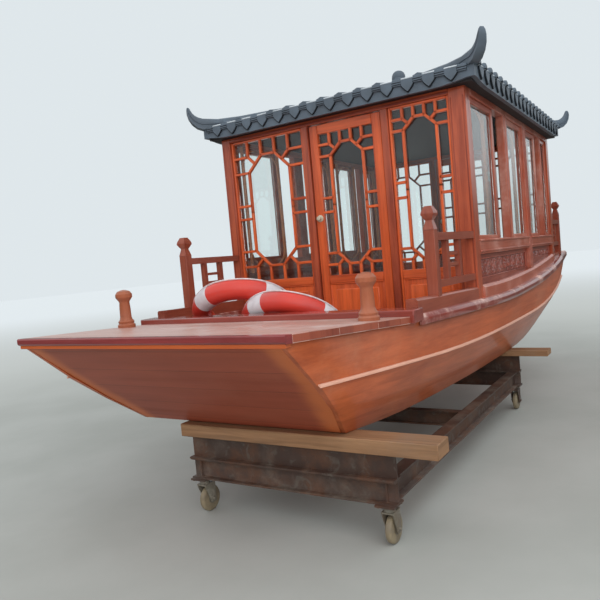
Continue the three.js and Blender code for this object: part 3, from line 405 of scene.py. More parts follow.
@dataclass(frozen=True)
class TimberFinish(Finish):
    """Varnished or painted wood.

    Fields are the light and dark colour of its grain, its own roughness and gloss, how thick and
    how rough its varnish coat is, the grain's scales per metre, its contrast, how much dust lies
    on it, and its board joints, if it has any: the axis across the boards (0 for X, 1 for Y, 2
    for Z), their pitch and the joint's half width. A flank is the colour near the slanting sides
    of the bow ramp, whose lines are slope and start.
    """

    light: Colour
    dark: Colour
    roughness: float = 0.32
    specular: float = 0.18
    coat: float = 0.5
    coat_roughness: float = 0.09
    across: float = 26.0
    along: float = 1.6
    contrast: float = 0.55
    relief: float = 0.0012
    dust: float = 0.15
    # A pale dust colour, as on the gunwale and the deck, also paints a sky highlight on up-facing
    # faces.
    dust_and_highlight_colour: Colour = (0.42, 0.34, 0.29)
    dust_scale: float = 3.4
    streak_roughness: float = 0.08
    dust_roughness: float = 0.5
    seam_axis: Optional[int] = None
    seam_pitch: float = 0.11
    seam_width: float = 0.0025
    seam_colour: Colour = (0.03, 0.02, 0.015)
    seam_cover: float = 0.8
    seam_depth: float = 2.0
    board_spread: float = 0.35
    flank: Optional[Colour] = None
    flank_lines: Rows = ((0.3556, 0.4738), (0.0608, 0.7330))
    flank_fade: Pair = (-0.17, -0.06)
    flank_wobble: Pair = (5.0, 0.08)

    def flanked(self, graph: Graph, place: Socket, colour: Socket) -> Socket:
        """Turns a colour into the flank's colour near the slanting sides of the bow ramp.

        Args:
            graph: The node tree.
            place: The place in the boat.
            colour: The colour between the sides.

        Returns:
            The colour with both flanks.
        """
        _, across, up = graph.parts(place)
        sides = [graph.add(graph.mul(up, slope), start) for slope, start in self.flank_lines]
        inset = graph.sub(graph.math("ABSOLUTE", across), graph.math("MINIMUM", *sides))
        scale, swing = self.flank_wobble
        wobble = graph.mul(graph.noise(place, scale), swing)
        return graph.mix(graph.range(graph.sub(inset, wobble), *self.flank_fade), colour,
                         self.flank)

    def material(self) -> Material:
        """Builds the material.

        Returns:
            The material.
        """
        material, graph, _ = start_material(self.name)
        place = graph.place()
        colour, height, streak = graph.group(
            TIMBER_GRAIN, Place=place, Grain=graph.attribute("grain"),
            Tone=graph.attribute("tone", "Fac"), Light=self.light, Dark=self.dark,
            Across=self.across, Along=self.along, Contrast=self.contrast)
        if self.seam_axis is not None:
            seam, board = graph.group(SEAMS, Reach=graph.parts(place)[self.seam_axis],
                                      Pitch=self.seam_pitch, Width=self.seam_width)
            spread = graph.range(board, 0.0, 1.0, 0.0, self.board_spread)
            colour = graph.mix(graph.mul(seam, self.seam_cover),
                               graph.mix(spread, colour, self.dark), self.seam_colour)
            height = graph.sub(height, graph.mul(seam, self.seam_depth))
        if self.flank is not None:
            colour = self.flanked(graph, place, colour)
        mask = self.weather(graph, colour, (self.dust_and_highlight_colour, self.dust, self.dust_scale))
        rough = graph.add(graph.mul(streak, self.streak_roughness),
                          graph.mul(mask, self.dust_roughness))
        self.set(graph, {"Roughness": graph.add(rough, self.roughness),
                         "Coat Weight": graph.mul(graph.sub(1.0, mask), self.coat),
                         "Coat Roughness": self.coat_roughness,
                         "Specular IOR Level": self.specular})
        self.bump(graph, height, self.relief)
        return material


@dataclass(frozen=True)
class MouldedFinish(Finish):
    """Plastic or tile: one colour with soft mottling, dust and a fine uneven surface."""

    colour: Colour
    shade: Colour
    roughness: float = 0.5
    coat: float = 0.0
    coat_roughness: float = 0.15
    dust: float = 0.3
    dust_and_highlight_colour: Colour = (0.45, 0.44, 0.42)
    dust_roughness: float = 0.3
    scale: float = 7.0
    mottle: Pair = (0.35, 0.7)
    pore_scale: float = 30.0
    pore_roughness: float = 0.15
    relief: float = 0.0006

    def material(self) -> Material:
        """Builds the material.

        Returns:
            The material.
        """
        material, graph, _ = start_material(self.name)
        place = graph.place()
        mottle = graph.noise(place, self.scale, detail=5.0)
        pores = graph.noise(place, self.scale * self.pore_scale, detail=2.0)
        colour = graph.mix(graph.range(mottle, *self.mottle), self.colour, self.shade)
        mask = self.weather(graph, colour, (self.dust_and_highlight_colour, self.dust, self.scale))
        rough = graph.add(graph.mul(mask, self.dust_roughness),
                          graph.mul(graph.sub(pores, 0.5), self.pore_roughness))
        self.set(graph, {"Roughness": graph.add(rough, self.roughness), "Coat Weight": self.coat,
                         "Coat Roughness": self.coat_roughness})
        self.bump(graph, graph.add(pores, mottle), self.relief, 0.4)
        return material


@dataclass(frozen=True)
class SteelFinish(Finish):
    """Primed structural steel with rust and bare, rubbed stretches."""

    paint: Colour
    rust: Colour
    bare: Colour
    wear: float = 0.5
    rustiness: float = 0.5
    roughness: float = 0.55
    scales: Point = (5.0, 90.0, 11.0)
    blotches: Pair = (0.42, 0.62)
    grit: tuple[float, float, float, float] = (0.25, 0.6, 0.5, 1.0)
    rubbing: Pair = (0.56, 0.68)
    rust_roughness: float = 0.3
    rubbed_roughness: float = 0.15
    rubbed_metal: float = 0.6
    dust: tuple[Colour, float, float] = ((0.30, 0.26, 0.21), 0.4, 6.0)
    relief: float = 0.0012

    def material(self) -> Material:
        """Builds the material.

        Returns:
            The material.
        """
        material, graph, _ = start_material(self.name)
        place = graph.place()
        blotches = graph.noise(place, self.scales[0], detail=7.0, rough=0.65)
        grit = graph.noise(place, self.scales[1])
        rusty = graph.mul(graph.range(blotches, *self.blotches), self.rustiness)
        rusty = graph.mul(rusty, graph.range(grit, *self.grit))
        rubbing = graph.noise(place, self.scales[2], detail=5.0, bend=1.2)
        rubbed = graph.mul(graph.range(rubbing, *self.rubbing), self.wear)
        self.weather(graph, graph.mix(rubbed, graph.mix(rusty, self.paint, self.rust), self.bare),
                     self.dust)
        rough = graph.sub(graph.add(graph.mul(rusty, self.rust_roughness), self.roughness),
                          graph.mul(rubbed, self.rubbed_roughness))
        self.set(graph, {"Metallic": graph.mul(rubbed, self.rubbed_metal), "Roughness": rough})
        self.bump(graph, graph.add(grit, rusty), self.relief)
        return material


@dataclass(frozen=True)
class GlassFinish(Finish):
    """Window glass with a faint tint and a little dust."""

    tint: Colour = (0.93, 0.97, 0.96)
    smears: tuple[float, float, float, float] = (0.45, 0.75, 0.0, 0.012)
    index: float = 1.45

    def material(self) -> Material:
        """Builds the material.

        Returns:
            The material.
        """
        material, graph, _ = start_material(self.name)
        smears = graph.noise(graph.place(), 4.0, detail=5.0)
        self.set(graph, {"Base Color": self.tint, "Transmission Weight": 1.0, "IOR": self.index,
                         "Roughness": graph.range(smears, *self.smears)})
        return material


class Finishes:
    """Every finish of the boat and the trolley, with its material made once."""

    HULL = TimberFinish("hull_varnish", Slot.HULL, (0.56, 0.130, 0.044), (0.31, 0.066, 0.024),
                        roughness=0.38, coat=0.3, across=20.0, along=1.1, contrast=0.8, dust=0.5,
                        dust_and_highlight_colour=(0.50, 0.25, 0.15))
    CORNER = TimberFinish("bow_corner_varnish", Slot.HULL, (0.60, 0.13, 0.035), (0.40, 0.08, 0.024),
                          roughness=0.36, coat=0.3, dust=0.2, dust_and_highlight_colour=(0.50, 0.25, 0.15))
    RAMP = TimberFinish("bow_ramp_paint", Slot.RAMP, (0.40, 0.088, 0.045), (0.25, 0.056, 0.030),
                        roughness=0.5, coat=0.1, coat_roughness=0.25, across=12.0, along=1.0,
                        contrast=0.65, dust=0.45, dust_and_highlight_colour=(0.42, 0.17, 0.11), seam_axis=2,
                        seam_pitch=0.118, seam_width=0.0016, flank=(0.56, 0.150, 0.050))
    # The deck's light colours and pale dust are partly real dust and partly a painted sky
    # reflection on its top.
    DECK = TimberFinish("deck_varnish", Slot.DECK, (0.64, 0.38, 0.31), (0.44, 0.21, 0.165),
                        roughness=0.45, coat=0.7, coat_roughness=0.30, across=18.0, dust=0.8,
                        dust_and_highlight_colour=(0.68, 0.57, 0.54))
    DECK_EDGE = TimberFinish("deck_edge_paint", Slot.TRIM, (0.30, 0.048, 0.046),
                             (0.13, 0.022, 0.024), roughness=0.33, coat=0.7, dust=0.15,
                             dust_and_highlight_colour=(0.50, 0.30, 0.28))
    # The gunwale's pale dust, full on its up-facing top and chamfer, is a painted sky highlight.
    GUNWALE = TimberFinish("gunwale_varnish", Slot.TRIM, (0.33, 0.060, 0.042), (0.17, 0.029, 0.022),
                           roughness=0.30, coat=0.7, dust=1.9, dust_and_highlight_colour=(0.88, 0.62, 0.54))
    # A light bead along the lap ledge, painted as the highlight that the ledge catches.
    LAP_HIGHLIGHT = TimberFinish("worn_edge", Slot.HULL, (0.86, 0.46, 0.33), (0.66, 0.30, 0.19),
                             roughness=0.35, coat=0.3, dust=0.4, dust_and_highlight_colour=(0.85, 0.62, 0.52))
    TURNED = TimberFinish("turned_varnish", Slot.LEAF, (0.42, 0.135, 0.066), (0.29, 0.078, 0.040),
                          roughness=0.34, coat=0.35, dust=0.2, dust_and_highlight_colour=(0.50, 0.30, 0.22))
    RAIL = TimberFinish("rail_varnish", Slot.JOINERY, (0.36, 0.090, 0.050), (0.22, 0.048, 0.030),
                        roughness=0.3, coat=0.5, contrast=0.8, dust=0.2,
                        dust_and_highlight_colour=(0.50, 0.30, 0.24))
    TRIM = TimberFinish("dark_red_varnish", Slot.TRIM, (0.33, 0.060, 0.042), (0.17, 0.029, 0.022),
                        roughness=0.28, coat=1.0, dust=0.15, dust_and_highlight_colour=(0.44, 0.24, 0.19))
    JOINERY = TimberFinish("red_varnish", Slot.JOINERY, (0.50, 0.104, 0.046), (0.22, 0.036, 0.020),
                           roughness=0.28, coat=0.6, contrast=0.85, dust=0.1,
                           dust_and_highlight_colour=(0.50, 0.28, 0.22))
    LEAF = TimberFinish("orange_varnish", Slot.LEAF, (0.82, 0.150, 0.042), (0.42, 0.062, 0.020),
                        roughness=0.28, coat=0.6, contrast=0.8, dust=0.08,
                        dust_and_highlight_colour=(0.60, 0.30, 0.20))
    SIDE = TimberFinish("side_wall_varnish", Slot.JOINERY, (0.52, 0.135, 0.078),
                        (0.32, 0.072, 0.044), roughness=0.34, coat=0.35, dust=0.9,
                        dust_and_highlight_colour=(0.78, 0.52, 0.45))
    CARVING = TimberFinish("carving_varnish", Slot.TRIM, (0.42, 0.105, 0.070), (0.17, 0.038, 0.028),
                           roughness=0.34, coat=0.4, contrast=0.8, dust=0.4,
                           dust_and_highlight_colour=(0.62, 0.38, 0.32))
    INSIDE = TimberFinish("inside_varnish", Slot.TRIM, (0.32, 0.080, 0.036), (0.17, 0.04, 0.022),
                          roughness=0.4, coat=0.3, dust=0.15, dust_and_highlight_colour=(0.44, 0.26, 0.21))
    BAMBOO = TimberFinish("bamboo_varnish", Slot.JOINERY, (0.66, 0.235, 0.105),
                          (0.44, 0.125, 0.055), roughness=0.35, coat=0.4, dust=0.1)
    CEILING = TimberFinish("ceiling_paint", Slot.CEILING, (0.048, 0.044, 0.046),
                           (0.030, 0.026, 0.028), roughness=0.6, coat=0.0, dust=0.1,
                           seam_axis=0, seam_pitch=0.12)
    TIMBER = TimberFinish("sawn_timber", Slot.TIMBER, (0.38, 0.21, 0.11), (0.18, 0.095, 0.05),
                          roughness=0.75, coat=0.0, across=30.0, contrast=0.8, relief=0.002,
                          dust=0.5, dust_and_highlight_colour=(0.26, 0.20, 0.15))
    TILE = MouldedFinish("roof_tile", Slot.TILE, (0.122, 0.158, 0.198), (0.074, 0.098, 0.126),
                         roughness=0.48, dust=0.35, dust_and_highlight_colour=(0.26, 0.29, 0.31))
    # Near-black tile pieces that paint the shadows under the eave blocks and the shade round each
    # drip tile.
    TILE_SHADE = MouldedFinish("tile_groove", Slot.TILE, (0.012, 0.015, 0.02), (0.008, 0.01, 0.013),
                               roughness=0.8, dust=0.0)
    # Pale strips that paint the sky's reflection along the top edge of the eave.
    TILE_HIGHLIGHT = MouldedFinish("tile_lip", Slot.TILE, (0.74, 0.80, 0.84), (0.56, 0.62, 0.66),
                             roughness=0.5, dust=0.3, dust_and_highlight_colour=(0.60, 0.63, 0.65))
    RING = MouldedFinish("ring_cover", Slot.RING, (0.72, 0.055, 0.035), (0.62, 0.04, 0.028),
                         roughness=0.34, coat=0.3, dust=0.12, relief=0.0004, scale=3.0)
    RING_BAND = MouldedFinish("ring_band", Slot.RING, (0.78, 0.76, 0.78), (0.66, 0.62, 0.65),
                              roughness=0.4, dust=0.2, scale=12.0)
    ROPE = MouldedFinish("grab_line", Slot.RING, (0.80, 0.74, 0.74), (0.68, 0.60, 0.60),
                         roughness=0.7, dust=0.2, scale=30.0)
    NYLON = MouldedFinish("caster_nylon", Slot.WHEEL, (0.27, 0.215, 0.135), (0.19, 0.145, 0.090),
                          roughness=0.5, dust=0.6, dust_and_highlight_colour=(0.22, 0.20, 0.17), scale=18.0)
    STEEL = SteelFinish("primed_steel", Slot.STEEL, (0.055, 0.030, 0.022), (0.150, 0.062, 0.030),
                        (0.14, 0.12, 0.10))
    ZINC = SteelFinish("zinc_plate", Slot.STEEL, (0.17, 0.15, 0.115), (0.15, 0.08, 0.04),
                       (0.45, 0.43, 0.36), wear=0.5, rustiness=0.45, roughness=0.4)
    BRASS = SteelFinish("knob_metal", Slot.STEEL, (0.58, 0.52, 0.40), (0.45, 0.33, 0.18),
                        (0.75, 0.70, 0.60), wear=1.0, rustiness=0.25, roughness=0.25)
    GLASS = GlassFinish("window_glass", Slot.PANE)

    _made: dict[str, Material] = {}

    @classmethod
    def material(cls, finish: Finish) -> Material:
        """Gives a finish's material, built at its first use.

        Args:
            finish: One of the finishes.

        Returns:
            The material.
        """
        if finish.name not in cls._made:
            cls._made[finish.name] = finish.material()
        return cls._made[finish.name]


Axis = int
X, Y, Z = 0, 1, 2
UNIT = np.eye(3)
AHEAD = (1, 0, 0)
ORIGIN = tuple(BOAT_ORIGIN)
STRIDE = (12, 6, 3)
MAX_CHAMFER = 0.3
TONES = (0.22, 0.62)
MERGE_DISTANCE = 2e-5
FLAT_ANGLE = math.radians(0.6)
BEVEL_ANGLE = math.radians(35)


def unit(vector: Sequence[float]) -> np.ndarray:
    """Scales a vector to length 1."""
    return np.asarray(vector, float) / max(float(np.linalg.norm(vector)), 1e-12)


def turn_round(profile: Iterable[float], cos: float = 1.0, sin: float = 1.0) -> np.ndarray:
    """Gives the cosines and sines of angles, scaled, as rows."""
    angles = np.asarray(profile)
    return np.stack([cos * np.cos(angles), sin * np.sin(angles)], -1)


def box_faces() -> list[list[int]]:
    """Lists the faces of a chamfered box, each of whose corners has a point for each axis.

    Returns:
        The faces: for each axis two sides and four edges, and then the corners.
    """
    faces = []
    for k in range(3):
        u, v = [o for o in range(3) if o != k]
        faces += [[side * STRIDE[k] + a * STRIDE[u] + b * STRIDE[v] + k
                   for a, b in ((0, 0), (1, 0), (1, 1), (0, 1))] for side in (0, 1)]
        for a, b in product((0, 1), repeat=2):
            at = a * STRIDE[u] + b * STRIDE[v]
            faces.append([at + u, at + STRIDE[k] + u, at + STRIDE[k] + v, at + v])
    return faces + [[3 * corner + k for k in range(3)] for corner in range(8)]


BOX_FACES = box_faces()
CORNERS = np.array(list(product((0, 1), repeat=3)))


def set_look(mesh: bpy.types.Mesh, grains: Sequence[Sequence[float]],
             tones: Sequence[float]) -> None:
    """Stores the grain and the tone of each face of a mesh.

    Args:
        mesh: The mesh.
        grains: The way of the grain on each face.
        tones: The tone of each face.
    """
    for name, kind, key, values in (("grain", "FLOAT_VECTOR", "vector", grains),
                                    ("tone", "FLOAT", "value", tones)):
        layer = mesh.attributes.new(name, kind, "FACE")
        layer.data.foreach_set(key, np.asarray(values, np.float32).ravel())


class Shape:
    """Faces gathered for one piece, each with the direction of its grain and a tone.

    Every method that adds faces takes their look: the grain as a direction, the tone as a number
    or None for a random one, and whether they are smooth.
    """

    def __init__(self, seed: int = 1) -> None:
        """Starts empty.

        Args:
            seed: The seed for the tones of its boards.
        """
        self.points: list[np.ndarray] = []
        self.faces: list[tuple[int, ...]] = []
        self.grains: list[np.ndarray] = []
        self.tones: list[float] = []
        self.smooth: list[bool] = []
        self.dice = np.random.default_rng(seed)

    def tone(self) -> float:
        """Gives the next board's tone."""
        return float(self.dice.uniform(*TONES))

    def add(self, points: Iterable[Sequence[float]], faces: Iterable[Sequence[int]],
            grain: Sequence[float] = AHEAD, tone: Optional[float] = None,
            smooth: bool = False) -> None:
        """Adds faces with corners of their own.

        Args:
            points: Their corners.
            faces: Indices into the corners.
            grain: The direction of the grain.
            tone: Their tone, or None for a random one.
            smooth: Whether they are shaded smoothly.
        """
        start = len(self.points)
        shade = self.tone() if tone is None else tone
        self.points.extend(np.asarray(p, float) for p in points)
        for face in faces:
            self.faces.append(tuple(start + i for i in face))
            self.grains.append(np.asarray(grain, float))
            self.tones.append(shade)
            self.smooth.append(smooth)

    def convex(self, points: Sequence[Sequence[float]], faces: Sequence[Sequence[int]],
               **look: object) -> None:
        """Adds a convex body, turning each face outwards.

        Args:
            points: Its corners.
            faces: Indices into the corners.
            look: Its look.
        """
        corners = np.asarray(points, float)
        out = []
        for face in faces:
            ring = corners[list(face)]
            normal = np.cross(ring[1] - ring[0], ring[2] - ring[0])
            outwards = normal @ (ring.mean(0) - corners.mean(0)) >= 0
            out.append(tuple(face) if outwards else tuple(reversed(face)))
        self.add(corners, out, **look)

    def plank(self, low: Sequence[float], high: Sequence[float], along: Optional[Axis] = None,
              chamfer: float = 0.003, tone: Optional[float] = None,
              matrix: Optional[np.ndarray] = None) -> None:
        """Adds a box with chamfered edges.

        Args:
            low: One corner.
            high: The opposite corner.
            along: The axis of its grain, or None for its longest side.
            chamfer: The chamfer's width.
            tone: Its tone, or None for a random one.
            matrix: A 4x4 that places it, or None.
        """
        lo, hi = np.minimum(low, high), np.maximum(low, high)
        c = min(chamfer, float((hi - lo).min()) * MAX_CHAMFER)
        corners = np.array([np.where(s == 1, hi, lo) + c * (1 - 2 * s) * (1 - UNIT[k])
                            for s in CORNERS for k in range(3)])
        grain = UNIT[int(np.argmax(hi - lo)) if along is None else along]
        if matrix is not None:
            corners = corners @ matrix[:3, :3].T + matrix[:3, 3]
            grain = matrix[:3, :3] @ grain
        self.convex(corners, BOX_FACES, grain=grain, tone=tone)

    def block(self, xs: Pair, ys: Pair, zs: Pair, *look: object) -> None:
        """Adds a plank by its three ranges, with the further arguments of plank()."""
        self.plank(*zip(xs, ys, zs), *look)

    def beam(self, ends: Sequence[np.ndarray], width: float, depth: float,
             facing: Sequence[float], chamfer: float) -> None:
        """Adds a straight bar between two points.

        Args:
            ends: The middles of both ends.
            width: Its size across, seen from the side it faces.
            depth: Its size along facing.
            facing: The direction that its face looks in.
            chamfer: The chamfer's width.
        """
        run = unit(ends[1] - ends[0])
        out = unit(np.asarray(facing, float) - run * (run @ np.asarray(facing, float)))
        matrix = np.eye(4)
        matrix[:3, :3] = np.column_stack([run, np.cross(out, run), out])
        matrix[:3, 3] = ends[0]
        length = float(np.linalg.norm(ends[1] - ends[0]))
        self.plank((0, -width / 2, -depth / 2), (length, width / 2, depth / 2), X, chamfer, None,
                   matrix)

    def prism(self, outline: Sequence[Pair], axis: Axis, span: Pair, **look: object) -> None:
        """Adds an outline swept along an axis.

        Args:
            outline: Its corners, in the two other axes in cyclic order.
            axis: The axis of the sweep.
            span: Where it starts and ends.
            look: Its look.
        """
        area = sum(a[0] * b[1] - b[0] * a[1] for a, b in zip(outline, [*outline[1:], outline[0]]))
        ring = list(outline) if area > 0 else list(reversed(outline))
        points = [np.roll((level, a, b), axis) for level in span for a, b in ring]
        n = len(ring)
        faces = [list(range(n))[::-1], list(range(n, 2 * n))]
        faces += [[i, (i + 1) % n, n + (i + 1) % n, n + i] for i in range(n)]
        self.add(points, faces, **look)

    def loft(self, sections: Sequence[Sequence[Sequence[float]]], caps: bool = True,
             smooth: bool = False, grain: Optional[Sequence[float]] = None,
             tone: Optional[float] = None) -> None:
        """Joins closed sections of equally many corners, turned outwards as a whole.

        Args:
            sections: The corners of each section in turn.
            caps: Whether both ends are closed.
            smooth: Whether it is shaded smoothly.
            grain: The grain's direction, or None for the way from the first to the last section.
            tone: Its tone, or None for a random one.
        """
        rings = np.asarray(sections, float)
        count, n = rings.shape[:2]
        points = rings.reshape(-1, 3)
        faces = [[i * n + j, i * n + (j + 1) % n, (i + 1) * n + (j + 1) % n, (i + 1) * n + j]
                 for i in range(count - 1) for j in range(n)]
        spot = points - points.mean(0)
        volume = sum(float(np.dot(spot[f[0]], np.cross(spot[f[k]], spot[f[k + 1]])))
                     for f in faces for k in (1, 2))
        if caps:
            faces += [list(range(n))[::-1], list(range((count - 1) * n, count * n))]
        if volume < 0:
            faces = [f[::-1] for f in faces]
        way = rings[-1].mean(0) - rings[0].mean(0) if grain is None else grain
        self.add(points, faces, grain=unit(way), tone=tone, smooth=smooth)

    def lathe(self, profile: Rows, centre: Sequence[float], axis: Sequence[float] = (0, 0, 1),
              sides: int = 24, smooth: bool = True, tone: Optional[float] = None) -> None:
        """Turns a profile about an axis.

        Args:
            profile: Rows of radius and height.
            centre: The place of height 0 on the axis.
            axis: The direction of the axis.
            sides: How many faces go round.
            smooth: Whether it is shaded smoothly.
            tone: Its tone, or None for a random one.
        """
        way = unit(axis)
        first = unit(np.cross(way, AHEAD if abs(way[0]) < 0.8 else (0, 1, 0)))
        frame_of = np.stack([first, np.cross(way, first)])
        circle = turn_round(np.linspace(0, 2 * math.pi, sides, endpoint=False)) @ frame_of
        self.loft([np.asarray(centre) + way * height + max(radius, 1e-5) * circle
                   for radius, height in profile], smooth=smooth, grain=way, tone=tone)

    def sheet(self, grid: np.ndarray, tone: float) -> None:
        """Adds a smooth surface that faces along rows crossed with columns.

        Args:
            grid: Its rows of points.
            tone: Its tone.
        """
        rows, columns = grid.shape[:2]
        self.add(grid.reshape(-1, 3), [[k, k + columns, k + columns + 1, k + 1]
                                       for i in range(rows - 1)
                                       for k in range(i * columns, (i + 1) * columns - 1)],
                 tone=tone, smooth=True)

    def mirrored(self) -> "Shape":
        """Gives this shape on the other side of the boat.

        Returns:
            The mirrored shape, with the tones swapped too.
        """
        other = Shape()
        flip = np.array([1.0, -1.0, 1.0])
        other.points = [p * flip for p in self.points]
        other.faces = [tuple(reversed(f)) for f in self.faces]
        other.grains = [g * flip for g in self.grains]
        other.tones = [sum(TONES) - t for t in self.tones]
        other.smooth = list(self.smooth)
        return other

    def mesh(self, name: str, origin: Sequence[float]) -> bpy.types.Mesh:
        """Makes the mesh with its grain and tone attributes.

        Args:
            name: The mesh's name.
            origin: What is added to every point.

        Returns:
            The mesh.
        """
        mesh = bpy.data.meshes.new(name)
        mesh.from_pydata((np.asarray(self.points) + origin).tolist(), [],
                         [list(f) for f in self.faces])
        mesh.polygons.foreach_set("use_smooth", self.smooth)
        set_look(mesh, self.grains, self.tones)
        mesh.update()
        return mesh

    def piece(self, name: str, finish: Finish, body: Body = Body.BOAT,
              replaces: Sequence[str] = (), origin: Sequence[float] = ORIGIN,
              crease: float = 38.0) -> bpy.types.Object:
        """Makes the object, finished and riding on its body, as place_piece() does."""
        return place_piece(self.mesh(name, origin), name, finish, body, replaces, crease)


def place_piece(mesh: bpy.types.Mesh, name: str, finish: Finish, body: Body,
                replaces: Sequence[str] = (), crease: float = 38.0) -> bpy.types.Object:
    """Puts a mesh in the scene as a finished piece.

    Args:
        mesh: The mesh, in the row frame.
        name: The piece's name.
        finish: Its finish.
        body: The body that it rides on.
        replaces: The CAD nodes that it stands for.
        crease: The angle in degrees above which an edge stays sharp.

    Returns:
        The object.
    """
    mesh.set_sharp_from_angle(angle=math.radians(crease))
    mesh.materials.clear()
    mesh.materials.append(Finishes.material(finish))
    made = in_scene(name, mesh)
    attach(made, body.value)
    if replaces:
        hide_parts(*replaces)
    log.info("%s: %d triangles", name, sum(len(p.vertices) - 2 for p in mesh.polygons))
    return made


def in_scene(name: str, data: Optional[bpy.types.ID]) -> bpy.types.Object:
    """Makes an object of some data in the scene.

    Args:
        name: Its name.
        data: Its mesh, camera or light.

    Returns:
        The object.
    """
    made = bpy.data.objects.new(name, data)
    bpy.context.scene.collection.objects.link(made)
    return made


def bake(source: bpy.types.Object) -> bpy.types.Mesh:
    """Makes a plain mesh of an object with its modifiers, and removes the object.

    Args:
        source: The object.

    Returns:
        The mesh.
    """
    bpy.context.view_layer.update()
    depsgraph = bpy.context.evaluated_depsgraph_get()
    mesh = bpy.data.meshes.new_from_object(source.evaluated_get(depsgraph))
    bpy.data.objects.remove(source)
    return mesh


def grain_by_face(mesh: bpy.types.Mesh, tones: Pair) -> None:
    """Gives each face a grain along its longest edge, and one tone to faces that share a run.

    Args:
        mesh: The mesh. The number of its faces seeds the tones.
        tones: The lowest and the highest tone.
    """
    dice = np.random.default_rng(len(mesh.polygons))
    grains, shades, known = [], [], {}
    for face in mesh.polygons:
        ring = [np.array(mesh.vertices[i].co) for i in face.vertices]
        edges = [b - a for a, b in zip(ring, ring[1:] + ring[:1])]
        way = unit(max(edges, key=lambda e: float(np.linalg.norm(e))))
        axis = int(np.argmax(abs(way)))
        way = way if way[axis] > 0 else -way
        key = (axis, round(float(face.center.y) * 3))
        known.setdefault(key, float(dice.uniform(*tones)))
        grains.append(way)
        shades.append(known[key])
    set_look(mesh, grains, shades)


def dress(node: str, finish: Finish, body: Body = Body.BOAT, bevel: float = 0.002,
          tones: Pair = (0.3, 0.55), smooth: bool = False,
          grain: Optional[Sequence[float]] = None) -> bpy.types.Object:
    """Finishes a copy of a CAD node: merged, its edges eased, grained and coloured.

    Args:
        node: The CAD node.
        finish: Its finish.
        body: The body that it rides on.
        bevel: The width of its eased edges.
        tones: The range of its faces' tones.
        smooth: Whether it is shaded smoothly.
        grain: One grain direction for every face, or None to find each face's own.

    Returns:
        The piece.
    """
    mesh = frame["nodes"][node].data.copy()
    work = bmesh.new()
    work.from_mesh(mesh)
    bmesh.ops.remove_doubles(work, verts=work.verts, dist=MERGE_DISTANCE)
    bmesh.ops.dissolve_limit(work, angle_limit=FLAT_ANGLE, verts=work.verts, edges=work.edges)
    work.to_mesh(mesh)
    work.free()
    for old in ("grain", "tone"):
        if old in mesh.attributes:
            mesh.attributes.remove(mesh.attributes[old])
    if grain is None:
        grain_by_face(mesh, tones)
    else:
        count = len(mesh.polygons)
        set_look(mesh, np.tile(grain, count), np.full(count, sum(tones) / 2))
    holder = in_scene("work", mesh)
    ease = holder.modifiers.new("ease", "BEVEL")
    ease.width, ease.segments, ease.limit_method, ease.angle_limit = bevel, 1, "ANGLE", BEVEL_ANGLE
    mesh = bake(holder)
    mesh.polygons.foreach_set("use_smooth", [smooth] * len(mesh.polygons))
    return place_piece(mesh, f"{node}_finished", finish, body, (node,))


class Maker:
    """A geometry node tree of this script, and what runs it on a mesh."""

    def __init__(self, name: str, source: str, inputs: dict[str, str]) -> None:
        """Starts the tree.

        Args:
            name: The tree's name.
            source: What its geometry input is called.
            inputs: The kind of each other input by its name.
        """
        self.tree = bpy.data.node_groups.new(name, "GeometryNodeTree")
        face = self.tree.interface
        self.ids = {label: face.new_socket(label, in_out="INPUT",
                                           socket_type=f"NodeSocket{kind}").identifier
                    for label, kind in {source: "Geometry", **inputs, "Finish": "Material"}.items()}
        face.new_socket("Result", in_out="OUTPUT", socket_type="NodeSocketGeometry")
        self.graph = Graph(self.tree)
        self.given = self.graph.node("NodeGroupInput").outputs

    def close(self, geometry: Socket) -> None:
        """Ends the tree: the geometry is made real and given its material.

        Args:
            geometry: What the tree has made.
        """
        real = self.graph.node("GeometryNodeRealizeInstances", {0: geometry})
        done = self.graph.node("GeometryNodeSetMaterial", {
            "Geometry": real.outputs[0], "Material": self.given["Finish"]})
        self.graph.node("NodeGroupOutput", {0: done.outputs[0]})

    def run(self, mesh: bpy.types.Mesh, finish: Finish, **values: object) -> bpy.types.Mesh:
        """Runs the tree on a mesh.

        Args:
            mesh: The mesh.
            finish: The finish of the result.
            values: The other inputs by name.

        Returns:
            The result as a plain mesh.
        """
        holder = in_scene(mesh.name, mesh)
        modifier = holder.modifiers.new("build", "NODES")
        modifier.node_group = self.tree
        for label, value in {**values, "Finish": Finishes.material(finish)}.items():
            modifier[self.ids[label]] = value
        return bake(holder)


